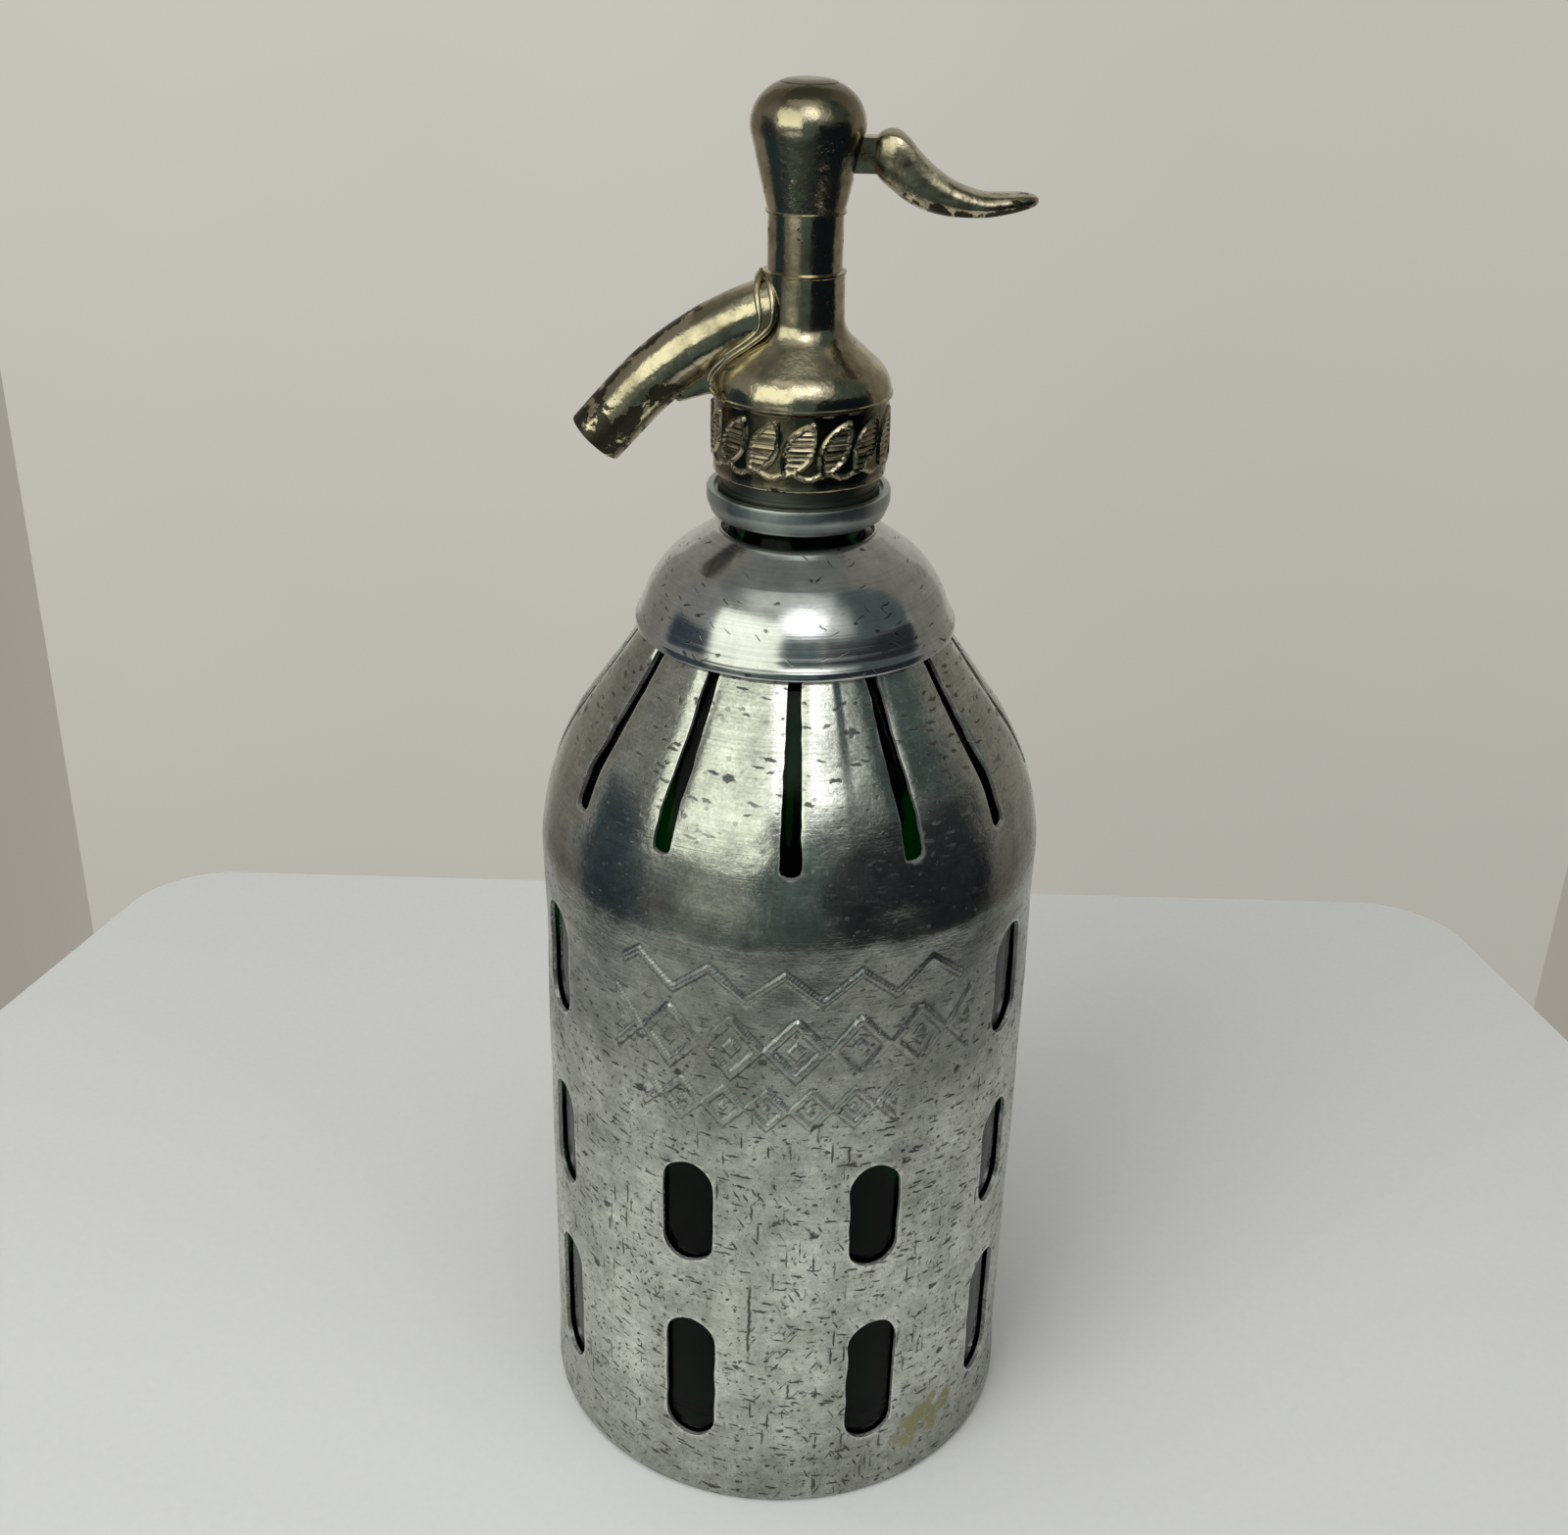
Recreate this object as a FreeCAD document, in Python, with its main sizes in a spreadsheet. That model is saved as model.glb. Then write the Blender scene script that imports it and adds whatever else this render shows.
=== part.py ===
import FreeCAD, Part
import math
import os
import re
import Sketcher

# A refillable soda siphon: a green glass bottle in a punched aluminium jacket, closed by a
# cast head with a curved spout and a thumb lever that lifts a spring-loaded valve.
#
# Millimetres.  +Z is up, the origin is the middle of the base on the surface it stands on,
# the spout points to -X, the lever to +X, and the lever's pin lies along Y.

doc = FreeCAD.newDocument("SodaSiphon")
sheet = doc.addObject("Spreadsheet::Sheet", "Sizes")

SIZES = [
    # aluminium jacket, spun in one piece with a turned-in bottom lip
    ("jacket_r", 52.5, "outer radius of the jacket"),
    ("jacket_wall", 0.9, "sheet thickness of the jacket"),
    ("edge_round", 1.6, "outer rounding of the jacket's bottom edge"),
    ("lip_w", 16.5, "width of the turned-in bottom lip"),
    ("shoulder_z", 156.3, "height where the side would meet the shoulder cone"),
    ("shoulder_round", 50.0, "rounding between side and shoulder cone"),
    ("finger_h", 36.7, "height of the shoulder fingers"),
    ("finger_top_r", 27.6, "radius at the top of the shoulder fingers"),
    ("slot_count", 12, "slots that part the shoulder into fingers"),
    ("slot_start", 0.2, "height of the slots' bottom above the shoulder's start"),
    ("slot_low_w", 4.9, "slot width at the bottom"),
    ("slot_top_w", 2.6, "slot width at the finger tops"),
    ("slot_round", 2.2, "rounding at the bottom of the slots"),
    ("window_w", 11.3, "width of the windows"),
    ("window_count", 9, "windows in a full ring"),
    ("window_front_gap", 43.2, "degrees between the two front windows"),
    ("window_turn", 0.4, "degrees from the front to the middle of that gap"),
    ("low_window_z", 16.0, "bottom of the lowest ring of windows"),
    ("low_window_h", 33.0, "height of the lowest windows"),
    ("middle_window_z", 64.5, "bottom of the middle ring of windows"),
    ("middle_window_h", 25.5, "height of the middle windows"),
    ("high_window_z", 108.5, "bottom of the top ring of windows"),
    ("high_window_h", 25.5, "height of the top windows"),
    # glass bottle and the ring it stands on
    ("cushion_h", 2.0, "thickness of the ring under the bottle"),
    ("cushion_in", 1.0, "how far the ring lies outside the lip's edge"),
    ("bottle_gap", 1.1, "gap between bottle and jacket"),
    ("bottle_wall", 4.5, "glass thickness"),
    ("heel_round", 6.0, "rounding of the bottle's heel"),
    ("foot_w", 10.5, "width of the ring that the bottle stands on"),
    ("foot_round", 1.2, "rounding of that ring's inner edge"),
    ("punt_slope", 9.0, "width of the slope up into the hollow bottom"),
    ("punt_h", 6.0, "height of the hollow in the bottom"),
    ("floor_round", 9.0, "rounding inside the bottle's bottom edge"),
    ("glass_rise", 1.0, "height of the glass shoulder's start above the jacket's"),
    ("glass_shoulder_round", 62.0, "rounding of the glass shoulder"),
    ("neck_r", 12.4, "outer radius of the glass neck"),
    ("bore_gap", 0.8, "gap between the tube holder's flange and the neck's bore"),
    ("neck_rise", 15.1, "height of the neck's start above the finger tops"),
    ("neck_round", 10.0, "rounding between glass shoulder and neck"),
    ("neck_h", 22.5, "height of the neck with its mouth"),
    ("bead_drop", 11.2, "depth of the bead's slope below the mouth"),
    ("bead_out", 1.4, "how far the bead stands out from the neck"),
    ("bead_h", 7.6, "height of the bead"),
    ("mouth_step", 0.8, "how far the mouth lies inside the neck's radius"),
    ("rim_round", 0.8, "rounding of bead and mouth"),
    # spun cap over the finger tops
    ("dome_wall", 0.8, "sheet thickness of the shoulder cap"),
    ("dome_hole_gap", 2.5, "gap between the neck and the cap's hole"),
    ("dome_rise", 16.4, "height of the cap's top above the finger tops"),
    ("dome_lip_low", 0.26, "straight part of the lip turned down into the hole"),
    ("dome_lip_round", 1.2, "rounding of that lip"),
    ("dome_corner_out", 0.3, "how far top and side of the cap meet outside the fingers"),
    ("dome_corner_rise", 7.05, "height above the finger tops where top and side meet"),
    ("dome_round", 18.0, "rounding between top and side of the cap"),
    ("hem_drop", 4.7, "depth of the cap's rim below the finger tops"),
    ("hem_h", 2.1, "height of the rim's band"),
    ("hem_t", 0.96, "thickness of the rim's band"),
    ("hem_step", 0.5, "step from the rim's band in to the side"),
    ("hem_gap", 0.25, "gap between the rim's band and the fingers"),
    # split collar under the bottle's bead, and the ring that holds its halves together
    ("loose", 0.3, "gap between glass and metal, and round the rubber rings"),
    ("collar_drop", 7.0, "depth of the collar below the bead's slope"),
    ("collar_rise", 2.0, "height of the collar above the bead's slope"),
    ("collar_wall", 1.4, "how far the collar's thread stands outside the bead"),
    ("flange_h", 5.0, "height of the collar's plain part"),
    ("flange_step", 0.5, "step from the thread out to the collar's plain part"),
    ("collar_split", 1.6, "degrees left open between the halves"),
    ("thread_gap", 0.06, "radial play in the threads"),
    ("ring_wall", 2.3, "wall of the neck ring"),
    ("ring_floor", 1.2, "thickness of the neck ring's floor"),
    ("ring_h", 5.4, "height of the neck ring"),
    ("ring_lip_gap", 1.1, "gap between the neck and the hole in the ring's floor"),
    ("ring_round", 1.1, "rounding of the neck ring's edges"),
    ("recess_w", 0.8, "width of the recess in the neck ring's top"),
    ("recess_h", 0.9, "depth of that recess"),
    # cast head: outside
    ("gasket_h", 2.4, "thickness of the mouth gasket"),
    ("skirt_wall", 2.0, "wall of the head's skirt"),
    ("skirt_drop", 13.4, "depth of the skirt below the gasket's seat"),
    ("skirt_ridge_rise", 2.2, "height of the skirt's ridge above the gasket's seat"),
    ("ridge", 0.35, "how far the thin ridges stand out"),
    ("bell_rise", 5.6, "height of the bell's edge above the gasket's seat"),
    ("bell_edge_round", 6.5, "rounding at the top of the skirt"),
    ("bell_h", 8.2, "height of the bell"),
    ("bell_neck_round", 5.0, "rounding between bell and neck"),
    ("stalk_low_r", 7.85, "radius of the neck at the spout"),
    ("stalk_low_h", 10.6, "height of the neck at the spout"),
    ("stalk_r", 6.95, "radius of the neck above the spout"),
    ("stalk_h", 10.8, "height of the neck above the spout"),
    ("bulb_low_r", 7.4, "radius at the bottom of the bulb"),
    ("bulb_r", 11.4, "radius where side and top of the bulb would meet"),
    ("bulb_h", 17.8, "height of the bulb's side"),
    ("bulb_round", 7.0, "rounding round the bulb"),
    ("crown_r", 5.0, "radius where the bulb's top levels out"),
    ("crown_h", 4.9, "height of the bulb's top"),
    ("crown_round", 8.0, "rounding at the bulb's top"),
    # cast head: inside
    ("cup_depth", 4.4, "depth of the cup for gasket and mouth"),
    ("cup_gap", 0.8, "gap round the mouth in that cup"),
    ("seat_bore", 6.0, "radius of the threaded hole for valve seat and tube holder"),
    ("bore_depth", 12.2, "depth of that hole above the gasket's seat"),
    ("chamber_r", 4.5, "radius of the valve chamber and plunger guide"),
    ("bulb_floor", 3.3, "height of the bulb's hollow above the bulb's bottom"),
    ("bulb_bore", 6.5, "radius of the hollow in the bulb"),
    ("plug_r", 5.2, "radius of the plug's thread"),
    ("plug_recess_r", 4.1, "radius of the spring's recess in the plug"),
    ("plug_recess_h", 2.4, "depth of that recess"),
    # spout
    ("spout_r", 5.9, "outer radius of the spout"),
    ("spout_bore", 3.3, "radius of the spout's bore"),
    ("spout_drop", 5.5, "depth of the spout's root below the ridge above it"),
    ("spout_root_angle", 14.0, "degrees that the spout falls at its root"),
    ("spout_end_angle", 48.0, "degrees that the spout falls at its end"),
    ("spout_bend", 64.5, "bend radius of the spout's middle line"),
    ("spout_end", 10.3, "straight length at the spout's end"),
    ("web_t", 3.2, "thickness of the web under the spout"),
    ("web_drop", 1.1, "depth of the web's bottom below the skirt's ridge"),
    ("web_out", 6.8, "how far the web stands out from the skirt"),
    ("web_fall", 2.1, "fall of the web's bottom over that length"),
    ("web_end_h", 3.0, "height of the web's outer end"),
    ("web_root", 5.0, "how far the web's root lies inside the skirt's radius"),
    ("web_h", 11.9, "height of the web's root"),
    # lever
    ("pin_in", 4.0, "distance of the lever's pin inside the bulb's greatest radius"),
    ("pin_rise", 9.2, "height of the lever's pin above the bulb's bottom"),
    ("pin_r", 1.2, "radius of the lever's pin"),
    ("pin_grip", 0.01, "radial gap between pin and head"),
    ("pin_play", 0.05, "radial play between pin and lever"),
    ("tongue_t", 4.6, "thickness of the lever's tongue"),
    ("tongue_play", 0.2, "gap on each side of the tongue in its slot"),
    ("tongue_under", 2.3, "height of the tongue below the pin"),
    ("tongue_over", 3.9, "height of the tongue above the pin"),
    ("tongue_in", 2.2, "length of the tongue inwards from the pin"),
    ("tongue_out", 6.1, "length of the tongue outwards from the pin, into the knuckle"),
    ("tongue_bevel", 0.9, "bevel of the tongue's inner top corner"),
    ("slot_in", 4.4, "length of the tongue's slot inwards from the pin"),
    ("slot_under", 1.2, "room under the tongue in its slot"),
    ("slot_over", 0.7, "room above the tongue in its slot"),
    ("finger_t", 2.8, "thickness of the lever's finger"),
    ("finger_half_h", 1.2, "half height of the finger"),
    ("nose_in", 7.6, "distance of the finger's round nose from the pin"),
    ("nose_drop", 0.85, "depth of the nose's middle below the pin"),
    ("nose_r", 1.45, "radius of the finger's round nose"),
    ("lever_round", 0.7, "edge rounding of the lever, as a share of its smaller half size"),
    # valve train
    ("plunger_play", 0.08, "radial play of the plunger in its guide"),
    ("guide_rise", 0.6, "height of the plunger's guided part above the spout's ridge"),
    ("plunger_over", 2.8, "height of the plunger's top above the pin"),
    ("window_drop", 3.25, "depth of the plunger's window below the nose's middle"),
    ("nose_gap", 0.1, "gap above the nose in the plunger's window"),
    ("finger_play", 0.2, "gap on each side of the finger in the window"),
    ("spigot_h", 1.8, "height of the spigot inside the spring"),
    ("spigot_gap", 0.65, "gap between that spigot and the spring"),
    ("groove_rise", 3.0, "height of the packing groove above the guide's bottom"),
    ("groove_h", 3.6, "height of the packing groove"),
    ("groove_depth", 1.2, "depth of the packing groove"),
    ("packing_gap", 0.03, "radial gap between packing and guide"),
    ("stem_r", 2.3, "radius of the plunger's stem"),
    ("disc_gap", 0.8, "gap between valve washer and chamber wall"),
    ("disc_h", 1.4, "thickness of the washer's backing disc"),
    ("washer_h", 2.2, "thickness of the valve washer"),
    ("valve_gap", 0.02, "gap between washer and seat in the closed valve"),
    ("screw_r", 1.2, "radius of the washer screw"),
    ("screw_head_r", 1.65, "radius of the washer screw's head"),
    ("screw_head_h", 1.0, "height of the washer screw's head"),
    ("screw_depth", 4.0, "depth of the washer screw in the plunger"),
    ("screw_gap", 0.05, "radial gap round the washer screw"),
    ("seal_h", 0.8, "thickness of the ring above the valve seat"),
    ("seat_h", 5.0, "height of the valve seat's thread"),
    ("lip_rise", 1.2, "height of the valve seat's lip above the chamber floor"),
    ("lip_t", 0.7, "thickness of the valve seat's lip"),
    ("seat_hole_gap", 0.35, "gap between the washer screw's head and the seat's hole"),
    ("spring_side_gap", 0.35, "gap round the spring in the plug's recess"),
    ("spring_wire", 0.45, "radius of the spring wire"),
    ("spring_turns", 4.0, "turns of the return spring"),
    ("spring_seat_gap", 0.05, "gap at each end of the spring"),
    # dip tube and its holder
    ("holder_gap", 0.4, "gap between tube holder and valve seat"),
    ("holder_drop", 11.5, "depth of the holder's socket below the gasket's seat"),
    ("holder_bore", 2.6, "radius of the passage through the tube holder"),
    ("socket_wall", 1.4, "wall of the tube holder's socket"),
    ("flange_out", 1.3, "how far the tube holder's flange stands out"),
    ("flange_gap", 0.4, "gap between that flange and the mouth gasket"),
    ("holder_flange_h", 1.8, "height of that flange"),
    ("tube_r", 3.8, "outer radius of the dip tube"),
    ("tube_bore", 2.4, "inner radius of the dip tube"),
    ("tube_gap", 0.05, "gap round the tube's rubber sleeve"),
    ("tube_drop", 2.7, "depth of the tube's top below the gasket's seat"),
    ("tube_end_gap", 4.1, "gap between the tube and the bottle's floor"),
    ("sleeve_wall", 1.15, "wall of the tube's rubber sleeve"),
    ("sleeve_in", 1.0, "how far the sleeve lies inside the socket"),
]

# cross-sections of the lever from knuckle to tip: distance out from the pin, height of the
# middle above the pin, half height and half width
LEVER_SECTIONS = [
    ("root", 4.8, 0.8, 3.2, 3.0),
    ("cheek", 5.8, 0.7, 4.25, 3.8),
    ("knuckle", 7.4, 0.2, 5.2, 4.4),
    ("back", 9.6, -0.7, 5.75, 4.7),
    ("slope", 12.2, -2.8, 5.25, 5.0),
    ("throat", 16.0, -5.3, 4.1, 5.2),
    ("thumb", 22.1, -7.1, 2.7, 5.4),
    ("pad", 28.1, -7.2, 2.0, 5.0),
    ("end", 32.9, -6.65, 1.5, 3.6),
    ("tip", 34.7, -6.45, 0.7, 1.6),
]
SECTION_SIZES = [
    ("out", "distance of the lever's {} from the pin"),
    ("up", "height of the lever's {} above the pin"),
    ("half_h", "half height of the lever's {}"),
    ("half_w", "half width of the lever's {}"),
]
for section, *section_sizes in LEVER_SECTIONS:
    for (measure, meaning), size in zip(SECTION_SIZES, section_sizes):
        SIZES.append((f"{section}_{measure}", size, meaning.format(section)))

for row, (alias, size, meaning) in enumerate(SIZES, start=1):
    sheet.set(f"A{row}", meaning)
    sheet.set(f"B{row}", str(size))
    sheet.setAlias(f"B{row}", alias)
doc.recompute()

# Heights, radii and angles that follow from the sizes.  The object is stacked from its base:
# jacket, shoulder, neck and mouth, then the head from the gasket's seat, then lever and
# valve from the pin.
DERIVED = {
    "lip_r": "jacket_r - lip_w",
    "finger_top_z": "shoulder_z + finger_h",
    "finger_lean": "atan((jacket_r - finger_top_r) / finger_h)",
    "slot_low_z": "shoulder_z + slot_start",
    "window_first": "window_turn + window_front_gap / 2",
    "window_span": "360 - window_front_gap",
    "window_step": "window_span / (window_count - 1)",
    "bottle_r": "jacket_r - jacket_wall - bottle_gap",
    "bottle_z": "jacket_wall + cushion_h",
    "punt_r": "bottle_r - heel_round - foot_w",
    "floor_z": "bottle_z + punt_h + bottle_wall",
    "glass_shoulder_z": "shoulder_z + glass_rise",
    "neck_corner_z": "finger_top_z + neck_rise",
    "glass_lean": "atan((bottle_r - neck_r) / (neck_corner_z - glass_shoulder_z))",
    "neck_bore": "holder_flange_r + bore_gap",
    "mouth_z": "neck_corner_z + neck_h",
    "mouth_r": "neck_r - mouth_step",
    "bead_z": "mouth_z - bead_drop",
    "bead_top_z": "bead_z + bead_h",
    "bead_r": "neck_r + bead_out",
    "dome_hole_r": "neck_r + dome_hole_gap",
    "dome_top_z": "finger_top_z + dome_rise",
    "dome_corner_r": "finger_top_r + dome_corner_out",
    "dome_corner_z": "finger_top_z + dome_corner_rise",
    "hem_z": "finger_top_z - hem_drop",
    "hem_in_r": "finger_top_r + hem_drop * tan(finger_lean) + hem_gap",
    "hem_r": "hem_in_r + hem_t",
    "dome_side_r": "hem_r - hem_step",
    "dome_side": "atan((dome_side_r - dome_corner_r) / (dome_corner_z - hem_z - hem_h))",
    "dome_top": "atan((dome_top_z - dome_corner_z) / (dome_corner_r - dome_hole_r))",
    "dome_inner": "dome_wall / (1 + sin(dome_side + dome_top))",
    "dome_lip_h": "dome_lip_round * (1 + sin(dome_top)) / cos(dome_top) + dome_lip_low",
    "collar_low_z": "bead_z - collar_drop",
    "collar_top_z": "bead_z + collar_rise",
    "collar_bore": "neck_r + loose",
    "thread_r": "bead_r + collar_wall",
    "flange_r": "thread_r + flange_step",
    "flange_top_z": "collar_low_z + flange_h",
    "ring_r": "flange_r + ring_wall",
    "ring_low_z": "collar_low_z - ring_floor",
    "ring_top_z": "ring_low_z + ring_h",
    "ring_lip_r": "neck_r + ring_lip_gap",
    "recess_r": "flange_r + recess_w",
    "recess_z": "ring_top_z - recess_h",
    "cup_top_z": "mouth_z + gasket_h",
    "cup_low_z": "cup_top_z - cup_depth",
    "cup_r": "mouth_r + cup_gap",
    "skirt_r": "thread_r + skirt_wall",
    "skirt_low_z": "cup_top_z - skirt_drop",
    "skirt_ridge_z": "cup_top_z + skirt_ridge_rise",
    "bell_z": "cup_top_z + bell_rise",
    "bell_top_z": "bell_z + bell_h",
    "stalk_ridge_z": "bell_top_z + stalk_low_h",
    "bulb_low_z": "stalk_ridge_z + stalk_h",
    "bulb_z": "bulb_low_z + bulb_h",
    "head_top_z": "bulb_z + crown_h",
    "chamber_low_z": "cup_top_z + bore_depth",
    "bulb_floor_z": "bulb_low_z + bulb_floor",
    "spout_root_z": "stalk_ridge_z - spout_drop",
    "web_low_z": "skirt_ridge_z - web_drop",
    "web_end_z": "web_low_z - web_fall",
    "web_reach": "skirt_r + web_out",
    "pin_x": "bulb_r - pin_in",
    "pin_z": "bulb_low_z + pin_rise",
    "tongue_low_z": "pin_z - tongue_under",
    "tongue_top_z": "pin_z + tongue_over",
    "nose_x": "pin_x - nose_in",
    "nose_z": "pin_z - nose_drop",
    "seat_top_z": "chamber_low_z + lip_rise",
    "seat_hole_r": "screw_head_r + seat_hole_gap",
    "seat_thread_top_z": "chamber_low_z - seal_h",
    "seat_low_z": "seat_thread_top_z - seat_h",
    "seat_thread_r": "seat_bore - thread_gap",
    "disc_r": "chamber_r - disc_gap",
    "washer_low_z": "seat_top_z + valve_gap",
    "washer_top_z": "washer_low_z + washer_h",
    "disc_top_z": "washer_top_z + disc_h",
    "screw_hole_r": "screw_r + screw_gap",
    "plunger_r": "chamber_r - plunger_play",
    "plunger_low_z": "stalk_ridge_z + guide_rise",
    "plunger_top_z": "pin_z + plunger_over",
    "groove_z": "plunger_low_z + groove_rise",
    "groove_r": "plunger_r - groove_depth",
    "window_top_z": "nose_z + nose_r + nose_gap",
    "window_side": "finger_t / 2 + finger_play",
    "spring_r": "plug_recess_r - spring_side_gap - spring_wire",
    "spring_low_z": "plunger_top_z + spring_seat_gap + spring_wire",
    "spring_top_z": "bulb_z + plug_recess_h - spring_seat_gap - spring_wire",
    "spigot_r": "spring_r - spring_wire - spigot_gap",
    "sleeve_bore": "tube_r + tube_gap",
    "sleeve_r": "sleeve_bore + sleeve_wall",
    "socket_r": "sleeve_r + tube_gap",
    "holder_r": "socket_r + socket_wall - tube_gap",
    "holder_flange_r": "holder_r + flange_out",
    "holder_flange_z": "cup_top_z - holder_flange_h",
    "holder_top_z": "seat_low_z - holder_gap",
    "holder_low_z": "cup_top_z - holder_drop",
    "gasket_bore": "holder_flange_r + flange_gap",
    "gasket_r": "cup_r - loose",
    "tube_top_z": "cup_top_z - tube_drop",
    "tube_low_z": "floor_z + tube_end_gap",
    "socket_top_z": "tube_top_z + tube_gap",
    "sleeve_low_z": "holder_low_z + sleeve_in",
}

ALIASES = {alias for alias, size, meaning in SIZES}
WORD = re.compile(r"[A-Za-z_][A-Za-z_0-9]*")
FULL_TURN = 360.0
parts = {}


def bound(text):
    """An expression on the names above, with each name tied to the sheet."""
    def tied(hit):
        if hit[0] in DERIVED:
            return f"({bound(DERIVED[hit[0]])})"
        return "Sizes." + hit[0] if hit[0] in ALIASES else hit[0]
    return WORD.sub(tied, text)


def value(text):
    """The number that an expression on those names gives."""
    answer = sheet.evalExpression(bound(text))
    return float(getattr(answer, "Value", answer))


# ---------------------------------------------------------------------------------------
# sketches and features
# ---------------------------------------------------------------------------------------

def new_body(name):
    return doc.addObject("PartDesign::Body", name)


def plane_of(body, role):
    return next(item for item in body.Origin.OriginFeatures if item.Role == role)


def new_sketch(body, name, role="XZ_Plane"):
    sketch = body.newObject("Sketcher::SketchObject", name)
    sketch.AttachmentSupport = [(plane_of(body, role), "")]
    sketch.MapMode = "FlatFace"
    return sketch


def place_point(sketch, geometry, end, across, up):
    """Ties one point of the sketch to two expressions, measured from the sketch's origin."""
    for kind, text in (("DistanceX", across), ("DistanceY", up)):
        index = sketch.addConstraint(Sketcher.Constraint(kind, -1, 1, geometry, end, value(text)))
        sketch.setExpression(f"Constraints[{index}]", bound(text))


def corner_arc(before, corner, after, radius):
    """The rounding of a corner: its two tangent points, its arc and whether it turns left."""
    into = (corner - before).normalize()
    out = (after - corner).normalize()
    turn = math.atan2(into.x * out.y - into.y * out.x, into.dot(out))
    reach = radius * math.tan(abs(turn) / 2)
    start = corner - into * reach
    end = corner + out * reach
    inward = FreeCAD.Vector(-into.y, into.x, 0) * math.copysign(1, turn)
    middle = start + inward * radius
    chord = ((start + end) / 2 - middle).normalize() * radius + middle
    return start, end, Part.Arc(start, chord, end), turn > 0


def outline(sketch, corners):
    """A closed outline in a sketch, its corners (and their roundings) tied to the sheet."""
    places = [FreeCAD.Vector(value(corner[0]), value(corner[1]), 0) for corner in corners]
    count = len(corners)
    rounds = {}
    for index, corner in enumerate(corners):
        if len(corner) == 3:
            near = (places[index - 1], places[index], places[(index + 1) % count])
            rounds[index] = corner_arc(*near, value(corner[2]))
    lines = []
    for index in range(count):
        following = (index + 1) % count
        start = rounds[index][1] if index in rounds else places[index]
        end = rounds[following][0] if following in rounds else places[following]
        lines.append(sketch.addGeometry(Part.LineSegment(start, end), False))
    for index, corner in enumerate(corners):
        before, after = lines[index - 1], lines[index]
        if index not in rounds:
            sketch.addConstraint(Sketcher.Constraint("Coincident", before, 2, after, 1))
            place_point(sketch, after, 1, corner[0], corner[1])
            continue
        arc = sketch.addGeometry(rounds[index][2], False)
        first, last = (1, 2) if rounds[index][3] else (2, 1)
        sketch.addConstraint(Sketcher.Constraint("Tangent", before, 2, arc, first))
        sketch.addConstraint(Sketcher.Constraint("Tangent", after, 1, arc, last))
        radius = sketch.addConstraint(Sketcher.Constraint("Radius", arc, value(corner[2])))
        sketch.setExpression(f"Constraints[{radius}]", bound(corner[2]))
        point = sketch.addGeometry(Part.Point(places[index]), True)
        sketch.addConstraint(Sketcher.Constraint("PointOnObject", point, 1, before))
        sketch.addConstraint(Sketcher.Constraint("PointOnObject", point, 1, after))
        place_point(sketch, point, 1, corner[0], corner[1])
    return sketch


def circle(sketch, across, up, radius):
    """One circle in a sketch, its middle and radius tied to the sheet."""
    middle = FreeCAD.Vector(value(across), value(up), 0)
    ring = sketch.addGeometry(Part.Circle(middle, FreeCAD.Vector(0, 0, 1), value(radius)), False)
    index = sketch.addConstraint(Sketcher.Constraint("Radius", ring, value(radius)))
    sketch.setExpression(f"Constraints[{index}]", bound(radius))
    place_point(sketch, ring, 3, across, up)
    return sketch


def revolve(body, name, corners, kind="PartDesign::Revolution"):
    """A turned solid, or a turned cut, from its outline as radius and height."""
    sketch = outline(new_sketch(body, name + "Outline"), corners)
    feature = body.newObject(kind, name)
    feature.Profile = sketch
    feature.ReferenceAxis = (sketch, ["V_Axis"])
    feature.Angle = FULL_TURN
    return feature


def extrude(body, name, sketch, thickness, kind="PartDesign::Pad"):
    """A pad or pocket that reaches equally far to both sides of its sketch."""
    feature = body.newObject(kind, name)
    feature.Profile = sketch
    feature.SideType = "Symmetric"
    feature.setExpression("Length", bound(thickness))
    return feature


def must_shrink(body, name, before):
    """Stops if a cut took nothing away."""
    doc.recompute()
    if body.Shape.Volume > before - 0.01:
        raise RuntimeError(f"{name} cuts nothing")
    return body.Shape.Volume


def turned_part(name, corners):
    """A sub-part that is one turned solid."""
    body = new_body(name)
    revolve(body, name + "Turned", corners)
    parts[name] = body
    return body


# ---------------------------------------------------------------------------------------
# jacket, shoulder cap, bottle and the ring it stands on
# ---------------------------------------------------------------------------------------

def polar(body, name, original, count, span):
    """Copies a cut round the axis; span is the angle from the first copy to the last."""
    pattern = body.newObject("PartDesign::PolarPattern", name)
    pattern.Originals = [original]
    pattern.Axis = (plane_of(body, "Z_Axis"), [""])
    pattern.setExpression("Occurrences", bound(count))
    pattern.setExpression("Angle", bound(span))
    body.Tip = pattern
    return pattern


def front_cut(body, name, sketch):
    """Cuts a sketch's outline through the wall on the sketch's -Y side only."""
    cut = body.newObject("PartDesign::Pocket", name)
    cut.Profile = sketch
    cut.Type = "ThroughAll"
    cut.Reversed = True
    return cut


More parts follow.
